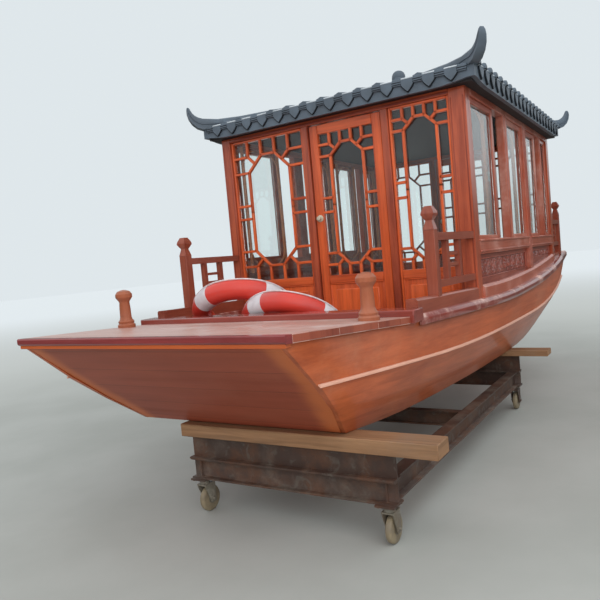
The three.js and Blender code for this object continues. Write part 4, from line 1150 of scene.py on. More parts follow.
class Repeat(Maker):
    """Stands a unit on each point of a mesh, turned and sized by the point's attributes."""

    def __init__(self) -> None:
        """Builds the tree once."""
        super().__init__("stand_units_on_points", "Points", {"Unit": "Object"})
        node = self.graph.node
        info = node("GeometryNodeObjectInfo", {"Object": self.given["Unit"], "As Instance": True},
                    transform_space="ORIGINAL")
        turn, size = (node("GeometryNodeInputNamedAttribute", {"Name": label},
                           data_type="FLOAT_VECTOR").outputs["Attribute"]
                      for label in ("turn", "size"))
        angle = node("FunctionNodeEulerToRotation", {0: turn})
        self.close(node("GeometryNodeInstanceOnPoints", {
            "Points": self.given["Points"], "Instance": info.outputs["Geometry"],
            "Rotation": angle.outputs[0], "Scale": size}).outputs[0])

    def piece(self, name: str, shape: Shape, stands: Sequence[Stand], finish: Finish,
              origin: Sequence[float] = ORIGIN) -> None:
        """Makes a piece of many copies of a unit.

        Args:
            name: The piece's name.
            shape: The unit, around its own origin.
            stands: The place, the turn as Euler angles and the size of each copy.
            finish: The piece's finish.
            origin: What is added to every place.
        """
        places, turns, sizes = (np.asarray(column, float) for column in zip(*stands))
        mesh = bpy.data.meshes.new(f"{name}_points")
        mesh.from_pydata((places + origin).tolist(), [], [])
        for label, values in (("turn", turns), ("size", sizes)):
            mesh.attributes.new(label, "FLOAT_VECTOR", "POINT").data.foreach_set(
                "vector", values.astype(np.float32).ravel())
        source = in_scene(f"{name}_unit", shape.mesh(f"{name}_unit", (0, 0, 0)))
        made = self.run(mesh, finish, Unit=source)
        bpy.data.objects.remove(source)
        place_piece(made, name, finish, Body.BOAT)


class Follow(Maker):
    """Runs a round bar along each path of a mesh's edges."""

    def __init__(self) -> None:
        """Builds the tree once."""
        super().__init__("round_bar_along_path", "Path", {"Radius": "Float", "Sides": "Int"})
        node = self.graph.node
        line = node("GeometryNodeMeshToCurve", {0: self.given["Path"]})
        ring = node("GeometryNodeCurvePrimitiveCircle", {
            "Radius": self.given["Radius"], "Resolution": self.given["Sides"]}, mode="RADIUS")
        self.close(node("GeometryNodeCurveToMesh", {
            "Curve": line.outputs[0], "Profile Curve": ring.outputs[0],
            "Fill Caps": True}).outputs[0])

    def piece(self, name: str, paths: Sequence[Sequence[Point]], radius: float, finish: Finish,
              sides: int = 8, closed: bool = False, origin: Sequence[float] = ORIGIN) -> None:
        """Makes a piece of bars along several paths.

        Args:
            name: The piece's name.
            paths: The points of each path.
            radius: The bars' radius.
            finish: The piece's finish.
            sides: How many faces go round.
            closed: Whether each path closes on itself.
            origin: What is added to every point.
        """
        points: list[list[float]] = []
        edges: list[tuple[int, int]] = []
        for path in paths:
            start, n = len(points), len(path)
            points += (np.asarray(path, float) + origin).tolist()
            edges += [(start + i, start + (i + 1) % n) for i in range(n if closed else n - 1)]
        mesh = bpy.data.meshes.new(f"{name}_path")
        mesh.from_pydata(points, edges, [])
        made = self.run(mesh, finish, Radius=radius, Sides=sides)
        made.polygons.foreach_set("use_smooth", [True] * len(made.polygons))
        place_piece(made, name, finish, Body.BOAT)


REPEAT = Repeat()
FOLLOW = Follow()


class Sheer:
    """The top edge of the hull, read from the CAD gunwale and foredeck."""

    def __init__(self) -> None:
        """Collects the height and the half width at each CAD station."""
        rows: dict[float, list[np.ndarray]] = {}
        for node in ("gunwale_port", "foredeck"):
            for vertex in frame["nodes"][node].data.vertices:
                place = np.array(vertex.co) - BOAT_ORIGIN
                rows.setdefault(round(float(place[X]), 3), []).append(place)
        self.stations = np.array(sorted(rows))
        self.heights = np.array([max(p[Z] for p in rows[x]) for x in self.stations])
        self.halves = np.array([max(p[Y] for p in rows[x]) for x in self.stations])

    def z(self, x: float) -> float:
        """Gives the height of the edge at a length."""
        return float(np.interp(x, self.stations, self.heights))

    def y(self, x: float) -> float:
        """Gives the half width at a length."""
        return float(np.interp(x, self.stations, self.halves))

    def between(self, fore: float, aft: float, margin: float = 0.001) -> list[float]:
        """Lists two ends and the stations well inside them, from fore to aft."""
        inside = [x for x in self.stations if aft + margin < x < fore - margin]
        return [fore, *reversed(inside), aft]

    def board(self, shape: Shape, span: Pair, sides: Pair, levels: Pair, chamfer: float = 0.0,
              skew: float = 0.0, **look: object) -> None:
        """Adds a board that follows the edge along the boat.

        Args:
            shape: What it is added to.
            span: Its fore end and its aft end.
            sides: Its two sides.
            levels: Its bottom and top above the edge.
            chamfer: The chamfer of its top outer edge.
            skew: How far it leans sideways for each metre forward.
            look: Its look.
        """
        sections = []
        for x in self.between(*span):
            low, high = (self.z(x) + level for level in levels)
            inner, outer = (side + skew * x for side in sides)
            edge = [(x, outer, high)]
            if chamfer:
                edge = [(x, outer - chamfer, high), (x, outer, high - chamfer)]
            sections.append([(x, outer, low), (x, inner, low), (x, inner, high), *edge])
        shape.loft(sections, grain=AHEAD, **look)


SHEER = Sheer()


def both_sides(name: str, shape: Shape, finish: Finish, replaces: str) -> None:
    """Places a port shape and its mirror image.

    Args:
        name: The start of both names.
        shape: The port shape.
        finish: The finish of both.
        replaces: The start of the names of the CAD nodes that they stand for.
    """
    for side, sign in SIDES:
        one = shape if sign > 0 else shape.mirrored()
        one.piece(f"{name}_{side}", finish, replaces=(f"{replaces}_{side}",))


@dataclass
class Hull:
    """The planked hull, its decks, wash boards and what stands on the decks.

    Pairs in the rims and profiles are an offset outwards or aft, and one upwards or down.
    """

    coaming: tuple[float, float, float, float] = (0.960, 1.0997, 0.975, 0.070)
    deck_front: float = 2.090
    edge_depth: float = 0.045
    edge_rim: Rows = ((-0.006, 0.0), (0.0, 0.006), (0.0, 0.028), (-0.008, 0.036))
    edge_foot: float = 1.1
    deck_thick: float = 0.036
    deck_boards: int = 9
    stern_boards: int = 4
    seam: float = 0.0009
    even_end: float = 0.1
    odd_end: float = 1.25
    aft_end: float = 0.2
    strip: tuple[Pair, Pair] = ((2.040, 2.0795), (-0.838, 0.838))
    strip_drop: Pair = (0.0006, 0.018)
    stern: Pair = (-3.300, -3.748)
    gunwale_width: float = 0.118
    lap_ledge: float = 0.012
    lap_error: float = 0.0006
    lap_rim: Rows = ((-0.011, 0.0004), (-0.011, 0.0060), (-0.003, 0.0050), (0.0022, -0.0030),
                     (0.0022, -0.0090), (0.0004, -0.0100))
    plank_rim: Rows = ((-0.001, 0.002), (0.0022, 0.003), (0.0022, 0.032), (-0.001, 0.034))
    plank_joint: float = 0.0004
    plank_tones: Sequence[float] = (0.05, 0.35, 0.7, 0.2)
    plank_shift: float = 0.0035
    bollard: Pair = (1.340, 0.840)
    bollard_sunk: float = 0.002
    bollard_profile: Rows = ((0.0, 0.0), (0.054, 0.0), (0.054, 0.020), (0.046, 0.030),
                             (0.049, 0.036), (0.049, 0.042), (0.039, 0.054), (0.035, 0.070),
                             (0.034, 0.120), (0.031, 0.160), (0.034, 0.168), (0.040, 0.176),
                             (0.051, 0.192), (0.0515, 0.212), (0.038, 0.230), (0.016, 0.238),
                             (0.0, 0.240))

    def dress(self) -> None:
        """Finishes the planking and the gunwales."""
        for side, _ in SIDES:
            dress(f"side_planking_{side}", Finishes.HULL, bevel=0.003, grain=AHEAD,
                  tones=(0.3, 0.5))
            dress(f"gunwale_{side}", Finishes.GUNWALE, bevel=0.004, grain=AHEAD)
        dress("bottom_planking", Finishes.HULL, grain=AHEAD)
        dress("transom", Finishes.HULL, grain=UNIT[Y])
        dress("bow_ramp", Finishes.RAMP, grain=UNIT[Y])

    def boards(self, shape: Shape, edges: np.ndarray, half: Callable[[float], float]) -> None:
        """Adds crosswise deck boards with stained ends.

        Args:
            shape: What they are added to.
            edges: Where one board ends and the next starts.
            half: Gives the deck's half width at a length.
        """
        for i, pair in enumerate(zip(edges, edges[1:])):
            tone = shape.tone()
            top = [(x, s * half(x), SHEER.z(x))
                   for x in (min(pair) + self.seam, max(pair) - self.seam) for s in (-1, 1)]
            points = [*top, *((x, y, z - self.deck_thick) for x, y, z in top)]
            shape.convex(points, [(0, 1, 3, 2), (4, 5, 7, 6), (0, 1, 5, 4), (2, 3, 7, 6)],
                         grain=UNIT[Y], tone=tone)
            shape.add(points, [(1, 3, 7, 5)], grain=UNIT[Z],
                      tone=self.odd_end if i % 2 else self.even_end)
            shape.add(points, [(4, 6, 2, 0)], grain=UNIT[Z], tone=self.aft_end)

    def lap_edge(self, sign: int) -> Shape:
        """Makes the bead along the ledge where the strakes of one side lap, painted light as a
        highlight.

        Args:
            sign: The side, 1 for port and -1 for starboard.

        Returns:
            The bead, with its line read from the CAD planking.
        """
        rows: dict[Pair, set[float]] = {}
        for vertex in frame["nodes"]["side_planking_port"].data.vertices:
            x, y, z = np.array(vertex.co) - BOAT_ORIGIN
            rows.setdefault((round(float(x), 3), round(float(z), 3)), set()).add(round(float(y), 4))
        rings = []
        for (x, z), found in sorted(rows.items()):
            inner, outer = [0.0, *sorted(found)][-2:]
            if abs(outer - inner - self.lap_ledge) < self.lap_error:
                rings.append([(x, sign * (outer + out), z + up) for out, up in self.lap_rim])
        shape = Shape()
        shape.loft(rings, grain=AHEAD, tone=0.4)
        return shape

    def plank_ends(self, edges: np.ndarray, sign: int) -> Shape:
        """Makes the painted ends of the foredeck's boards on one side.

        Args:
            edges: Where one board ends and the next starts.
            sign: The side, 1 for port and -1 for starboard.

        Returns:
            The ends, as thin plates.
        """
        shape = Shape()
        for i, (b, a) in enumerate(zip(edges, edges[1:])):
            shift = self.plank_shift * math.sin(i * 2.3)
            shape.loft([[(x, sign * (SHEER.y(x) + out), SHEER.z(x) - drop)
                         for out, drop in self.plank_rim]
                        for x in (a - self.seam + shift, b + self.plank_joint + shift)],
                       grain=UNIT[Z], tone=self.plank_tones[i % len(self.plank_tones)])
        return shape

    def build(self) -> None:
        """Builds the decks, the coaming beam and the bollards."""
        aft, fore, half, height = self.coaming
        deck, edge, strip, stern, beam = (Shape(seed) for seed in range(3, 8))
        back = self.deck_front - self.edge_depth
        edges = np.linspace(fore + GAP, back, self.deck_boards + 1)
        self.boards(deck, edges, SHEER.y)
        deck.piece("foredeck_boards", Finishes.DECK, replaces=("foredeck",))
        rim = [(back, 0.0), *((self.deck_front + x, drop) for x, drop in self.edge_rim),
               (back, self.deck_thick)]
        edge.loft([[(x, y * SHEER.y(x), SHEER.z(x) - drop) for x, drop in rim] for y in (-1, 1)],
                  grain=UNIT[Y], tone=0.4)
        edge.piece("foredeck_front_edge", Finishes.DECK_EDGE)
        top = SHEER.z(self.deck_front) - self.deck_thick - self.strip_drop[0]
        strip.block(*self.strip, (top - self.strip_drop[1], top), Y, 0.002, 0.3)
        strip.piece("ramp_head_strip", Finishes.CORNER)
        self.boards(stern, np.linspace(*self.stern, self.stern_boards + 1),
                    lambda x: SHEER.y(x) - self.gunwale_width - GAP)
        stern.piece("stern_deck_boards", Finishes.DECK, replaces=("stern_deck",))
        bottom = SHEER.z(self.edge_foot) - self.deck_thick
        beam.block((aft, fore), (-half, half), (bottom, bottom + height), Y, 0.006, 0.35)
        beam.piece("coaming_beam_finished", Finishes.TRIM, replaces=("coaming_beam",))
        for side, sign in SIDES:
            self.lap_edge(sign).piece(f"lap_edge_{side}", Finishes.LAP_HIGHLIGHT)
            self.plank_ends(edges, sign).piece(f"foredeck_plank_ends_{side}", Finishes.RAIL)
            post = Shape(8)
            x, y = self.bollard
            post.lathe(self.bollard_profile, (x, sign * y, SHEER.z(x) - self.bollard_sunk),
                       sides=40)
            post.piece(f"bollard_{side}_turned", Finishes.TURNED, replaces=(f"bollard_{side}",),
                       crease=30)


@dataclass
class Railing:
    """A railing from a newel post to the cabin corner, on both sides of the boat.

    Bars are half a thickness, a depth and the share or height at which they are.
    """

    name: str
    newel: Pair
    wall: Pair
    top: float
    low: float
    kerb: tuple[float, float, float, float]
    half: float = 0.032
    height: float = 0.453
    head: Rows = ((0.032, 0.0), (0.020, 0.046), (0.0192, 0.052), (0.024, 0.060), (0.038, 0.084),
                  (0.038, 0.092), (0.034, 0.106), (0.020, 0.133))
    top_rail: Pair = (0.028, 0.045)
    low_rail: Pair = (0.022, 0.040)
    balusters: Pair = (0.32, 0.63)
    baluster: Pair = (0.016, 0.020)
    cross_bars: Pair = (0.36, 0.64)
    cross_bar: float = 0.010

    def lean(self) -> float:
        """Gives how far the railing runs sideways for each metre forward."""
        return (self.newel[1] - self.wall[1]) / (self.newel[0] - self.wall[0])

    def bar(self, shape: Shape, ends: Pair, half: float, levels: Pair, axis: Axis) -> None:
        """Adds a rail, baluster or cross bar that lies in the railing's own plane.

        Args:
            shape: What it is added to.
            ends: Its first and last length along the boat.
            half: Half its thickness.
            levels: Its bottom and top.
            axis: The way of its grain.
        """
        rings = []
        for x in (max(ends), min(ends)):
            y = self.wall[1] + (x - self.wall[0]) * self.lean()
            rings.append([(x, y + side * half, levels[level])
                          for side, level in ((1, 0), (-1, 0), (-1, 1), (1, 1))])
        shape.loft(rings, grain=UNIT[axis], tone=0.5)

    def build(self) -> None:
        """Builds the newel, rails, balusters and kerb."""
        shape = Shape(len(self.name))
        x, y = self.newel
        wall_x, wall_y = self.wall
        foot = SHEER.z(x)
        shape.block((x - self.half, x + self.half), (y - self.half, y + self.half),
                    (foot + GAP, foot + self.height), Z, 0.003, 0.4)
        shape.loft([[(x + a * half, y + b * half, foot + self.height + above)
                     for a, b in ((-1, -1), (1, -1), (1, 1), (-1, 1))]
                    for half, above in self.head], grain=UNIT[Z], tone=0.45)
        near = x + math.copysign(self.half, wall_x - x)
        for (half, thick), level in ((self.top_rail, self.top), (self.low_rail, self.low)):
            self.bar(shape, (near, wall_x), half, (level - thick, level), X)
        under = self.top - self.top_rail[1]
        ends = [x + (wall_x - x) * share for share in self.balusters]
        for at in ends:
            half, reach = self.baluster
            self.bar(shape, (at - reach, at + reach), half, (self.low, under), Z)
        for share in self.cross_bars:
            z = self.low + (under - self.low) * share
            self.bar(shape, ends, self.cross_bar, (z - self.cross_bar, z + self.cross_bar), X)
        kerb_end, kerb_height, kerb_half, kerb_chamfer = self.kerb
        middle = wall_y - self.lean() * wall_x
        SHEER.board(shape, (max(kerb_end, wall_x), min(kerb_end, wall_x)),
                    (middle - kerb_half, middle + kerb_half), (GAP, kerb_height),
                    chamfer=kerb_chamfer, skew=self.lean(), tone=0.3)
        both_sides(f"railing_{self.name}_joined", shape, Finishes.RAIL, f"railing_{self.name}")


@dataclass
class Lattice:
    """The elongated octagon lattice of a glazed leaf. Heights are in cells in from its ends."""

    bar: float = 0.020
    depth: float = 0.024
    square: float = 0.9
    shoulder: float = 1.87
    struts: float = 0.052
    overlap: float = 0.005
    cells: int = 5

    def lines(self, sides: Pair, levels: Pair) -> list[tuple[Pair, Pair]]:
        """Lays out the bars in a field.

        Args:
            sides: The field's two sides.
            levels: Its bottom and top.

        Returns:
            The two ends of each bar, as sideways place and height.
        """
        cell, middle = (sides[1] - sides[0]) / self.cells, sum(levels) / 2
        bars = []
        for up in (-1, 1):
            top, square, turning, shoulder = (
                middle + up * ((levels[1] - levels[0]) / 2 - cells * cell)
                for cells in (0, self.square, (self.square + self.shoulder) / 2, self.shoulder))
            strut = middle + up * self.struts
            bars.append(((sides[0] + 2 * cell, square), (sides[1] - 2 * cell, square)))
            for edge, toward in zip(sides, (1, -1)):
                first, second = edge + toward * cell, edge + toward * 2 * cell
                bars += [((first, top), (first, square)), ((second, top), (second, square)),
                         ((edge, square), (first, square)),
                         ((first, square), ((first + second) / 2, turning)),
                         ((second, square), (first, shoulder)),
                         ((edge, shoulder), (first, shoulder)), ((edge, strut), (first, strut)),
                         ((first, middle - up * self.overlap), (first, shoulder))]
        return bars


@dataclass
class EndWall:
    """The front or rear wall of the cabin with its two fixed leaves and its door.

    Pairs are ranges: of depths in from the wall's outer face, of sides or of heights.
    """

    name: str
    wall: float
    inwards: int
    sill: float
    body: Body
    thick: float = 0.070
    half: float = 1.000
    top: float = 1.757
    head: float = 1.720
    posts: Pair = (0.083, 0.114)
    post_depth: float = 0.100
    bead: tuple[Pair, float, float, Pair] = ((-0.0025, 0.004), 0.016, 0.004, (0.05, 0.06))
    cornice: tuple[Pair, Pair] = ((-0.006, 0.002), (0.006, 0.022))
    sill_half: float = 0.78
    sill_thick: float = 0.0117
    mullions: Rows = ((-0.243, -0.190), (0.401, 0.455))
    leaves: Rows = ((-0.917, -0.243), (0.455, 0.886))
    stiles: Pair = (0.018, 0.070)
    door: Pair = (-0.190, 0.401)
    clearance: float = 0.006
    inset: float = 0.015
    leaf_thick: float = 0.040
    foot_rail: float = 0.060
    lock_rail: Pair = (0.540, 0.600)
    panel: Pair = (0.010, 0.028)
    raised: float = 0.003
    border: float = 0.045
    moulding: Pair = (0.002, 0.014)
    moulding_width: float = 0.010
    lattice: Lattice = field(default_factory=Lattice)
    lattice_inset: float = 0.003
    bar_overlap: float = 0.004
    hinge_heights: Pair = (0.330, 1.450)
    hinge_axis: Pair = (0.009, 0.001)
    hinge_radius: float = 0.0078
    hinge_half: float = 0.028
    hinge_knuckles: Rows = ((-0.052, -0.0285), (0.0285, 0.052))
    hinge_leaf: Pair = (-0.024, -0.0075)
    hinge_plate: Pair = (0.002, 0.012)
    knob_height: float = 1.030
    knob: Rows = ((0.0, 0.0), (0.026, 0.0), (0.026, 0.0025), (0.022, 0.005), (0.010, 0.006),
                  (0.0085, 0.016), (0.012, 0.019), (0.0165, 0.024), (0.0165, 0.030),
                  (0.012, 0.0345), (0.0, 0.035))

    def x(self, depth: float) -> float:
        """Gives the length at a depth in from the wall's outer face."""
        return self.wall + self.inwards * depth

    def put(self, shape: Shape, depths: Pair, ys: Pair, zs: Pair, *look: object) -> None:
        """Adds a plank by its depths, its sides and its heights."""
        shape.block((self.x(depths[0]), self.x(depths[1])), ys, zs, *look)

    def build_frame(self) -> None:
        """Builds the posts, head, sill and mullions."""
        shape = Shape(31 + self.inwards)
        foot = min(SHEER.z(self.x(0)), SHEER.z(self.x(self.post_depth))) + GAP
        port, starboard = self.half - self.posts[1], -self.half + self.posts[0]
        depths, inset, half, (above, below) = self.bead
        for inner, outer in ((port, self.half), (starboard, -self.half)):
            self.put(shape, (0, self.post_depth), (inner, outer), (foot, self.top), Z, 0.004)
            for edge in (min(inner, outer) + inset, max(inner, outer) - inset):
                self.put(shape, depths, (edge - half, edge + half),
                         (foot + above, self.top - below), Z, 0.002, 0.75)
        wall, across = (0, self.thick), (starboard, port)
        self.put(shape, wall, across, (self.head, self.top), Y)
        depths, levels = self.cornice
        self.put(shape, depths, across, (self.head + levels[0], self.head + levels[1]), Y, 0.003,
                 0.7)
        self.put(shape, wall, (-self.sill_half, self.sill_half),
                 (self.sill - self.sill_thick, self.sill), Y)
        for sides in self.mullions:
            self.put(shape, wall, sides, (self.sill, self.head), Z, 0.004)
        shape.piece(f"{self.name}_frame_joined", Finishes.JOINERY, replaces=(f"{self.name}_frame",))

    def leaf(self, shape: Shape, sides: Pair, margin: float, stile: float) -> None:
        """Adds a glazed leaf's wood.

        Args:
            shape: What it is added to.
            sides: Its starboard and port edges.
            margin: How far it stays clear of the sill and the head.
            stile: The width of its stiles and of its top rail.
        """
        bottom, top = self.sill + margin, self.head - margin
        left, right = sides[0] + stile, sides[1] - stile
        rail, (low, high) = bottom + self.foot_rail, self.lock_rail
        wood, panel, moulding = ((self.inset + a, self.inset + b) for a, b in
                                 ((0, self.leaf_thick), self.panel, self.moulding))
        for across in ((sides[0], left), (right, sides[1])):
            self.put(shape, wood, across, (bottom, top), Z, 0.004)
        for levels in ((top - stile, top), (low, high), (bottom, rail)):
            self.put(shape, wood, (left, right), levels, Y, 0.004)
        self.put(shape, panel, (left, right), (rail, low), Z, 0.001)
        self.put(shape, (self.inset + self.raised, panel[1]),
                 (left + self.border, right - self.border),
                 (rail + self.border, low - self.border), Z, 0.007)
        wide = self.moulding_width
        for z in (rail, low - wide):
            self.put(shape, moulding, (left, right), (z, z + wide), Y, 0.003)
        for y in (left, right - wide):
            self.put(shape, moulding, (y, y + wide), (rail + wide, low - wide), Z, 0.003)
        middle = self.x(self.inset + self.lattice_inset + self.lattice.depth / 2)
        for ends in self.lattice.lines((left, right), (high, top - stile)):
            start, end = (np.array([middle, *end]) for end in ends)
            over = unit(end - start) * self.bar_overlap
            shape.beam((start - over, end + over), self.lattice.bar, self.lattice.depth,
                       (-self.inwards, 0, 0), 0.003)

    def build_leaves(self) -> None:
        """Builds the fixed leaves."""
        for (side, _), (a, b) in zip(reversed(SIDES), self.leaves):
            shape = Shape(41 + len(side) + self.inwards)
            self.leaf(shape, (a + GAP, b - GAP), GAP, self.stiles[0])
            shape.piece(f"{self.name}_lattice_{side}_joined", Finishes.LEAF,
                        replaces=(f"{self.name}_lattice_{side}",))

    def build_door(self) -> None:
        """Builds the door with its knobs."""
        a, b = self.door[0] + self.clearance, self.door[1] - self.clearance
        shape, knob = Shape(51 + self.inwards), Shape(61)
        self.leaf(shape, (a, b), self.clearance, self.stiles[1])
        shape.piece(f"{self.name}_door_joined", Finishes.LEAF, self.body, (f"{self.name}_door",))
        for depth, way in ((self.inset, -self.inwards),
                           (self.inset + self.leaf_thick, self.inwards)):
            knob.lathe(self.knob, (self.x(depth), a + self.stiles[1] / 2, self.knob_height),
                       (way, 0, 0), 28)
        knob.piece(f"{self.name}_door_knobs", Finishes.BRASS, self.body)

    def build_hinges(self) -> None:
        """Builds the door's hinges, half on the door and half on the frame."""
        leaf, fixed = Shape(62), Shape(63)
        depth, y = self.thick + self.hinge_axis[0], self.door[1] - self.hinge_axis[1]
        back = self.inset + self.leaf_thick - 0.001
        own = (-self.hinge_half, self.hinge_half)
        for z in self.hinge_heights:
            for shape, spans in ((leaf, (own,)), (fixed, self.hinge_knuckles)):
                for low, high in spans:
                    sides, depths = ((self.hinge_leaf, (back, depth)) if shape is leaf
                                     else (self.hinge_plate, (depth, self.thick - 0.002)))
                    profile = [(r, end) for end in (low, high) for r in (0.0, self.hinge_radius)]
                    shape.lathe([profile[i] for i in (0, 1, 3, 2)], (self.x(depth), y, z), sides=16)
                    self.put(shape, depths, (y + sides[0], y + sides[1]), (z + low, z + high), Z,
                             0.001)
        leaf.piece(f"{self.name}_door_hinge_leaves", Finishes.BRASS, self.body)
        fixed.piece(f"{self.name}_frame_hinge_leaves", Finishes.BRASS)

    def build(self) -> None:
        """Builds the whole wall."""
        self.build_frame()
        self.build_leaves()
        self.build_door()
        self.build_hinges()


@dataclass
class Carving:
    """A vine with scrolls, leaves and a flower. Each ridge is a width and how far it is proud."""

    start: float = 0.07
    end: float = 0.97
    wave: float = 0.105
    swing: float = 0.24
    vine: Pair = (0.006, 0.006)
    scrolls: Rows = ((0.29, 0.15), (-0.12, 0.24))
    scroll_angles: Sequence[float] = tuple(np.linspace(0, 3.6 * math.pi, 70))
    scroll_closing: float = 0.19
    scroll: Pair = (0.004, 0.0068)
    leaves: Sequence[float] = (0.6, 1.5, 2.4)
    leaf_steps: Sequence[float] = tuple(np.linspace(0.2, 0.46, 12))
    leaf: Pair = (0.005, 0.0045)
    petals: int = 5
    flower: float = 0.30
    petal_depth: float = 0.28
    petal: Pair = (0.005, 0.007)
    bud: Pair = (0.014, 0.008)
    fade: float = 0.012

    def lines(self, reach: float, tall: float) -> list[tuple[np.ndarray, Pair]]:
        """Draws the ridges about the panel's middle.

        Args:
            reach: Half the panel's length.
            tall: Its height.

        Returns:
            The points of each ridge, and its width and height.
        """
        found = []
        waves = max(3, round(reach / self.wave))
        length = reach * self.end - self.start
        for way in (-1, 1):
            run = np.linspace(0, length, 160)
            swing = np.sin(run / length * waves * math.pi) * tall * self.swing
            found.append((np.stack([way * (run + self.start), swing], -1), self.vine))
            for k in range(waves):
                side = 1 if k % 2 == 0 else -1
                x = way * (self.start + (k + 0.5) / waves * length)
                for place, size in self.scrolls:
                    hub = np.array([x, side * tall * place])
                    angles = np.array(self.scroll_angles)
                    r = (tall * size * np.exp(-angles * self.scroll_closing))[:, None]
                    found.append((hub + r * turn_round(angles, way, side), self.scroll))
                for angle in self.leaves:
                    out = turn_round([angle], way, -side) * tall
                    found.append((hub + out * np.array(self.leaf_steps)[:, None], self.leaf))
        angles = np.linspace(0, 2 * math.pi, 260)
        r = 1 - self.petal_depth + self.petal_depth * np.cos(self.petals * angles)
        found.append((turn_round(angles) * (tall * self.flower * r)[:, None], self.petal))
        return [*found, (np.zeros((1, 2)), self.bud)]

    def relief(self, x: np.ndarray, z: np.ndarray) -> np.ndarray:
        """Gives how far the wood stands out.

        Args:
            x: Lengths of the panel's points, as a grid.
            z: Their heights.

        Returns:
            The relief at each point, fading out at the border.
        """
        low, high, aft, fore = z.min(), z.max(), x.min(), x.max()
        places = np.stack([x - (fore + aft) / 2, z - (low + high) / 2], -1)
        height = np.zeros_like(x)
        for line, (width, proud) in self.lines((fore - aft) / 2, high - low):
            gap = np.linalg.norm(places[..., None, :] - line, axis=-1).min(-1)
            height = np.maximum(height, proud * np.exp(-(gap / width) ** 2))
        border = np.minimum(np.minimum(x - aft, fore - x), np.minimum(z - low, high - z))
        return height * np.clip(border / self.fade, 0, 1)


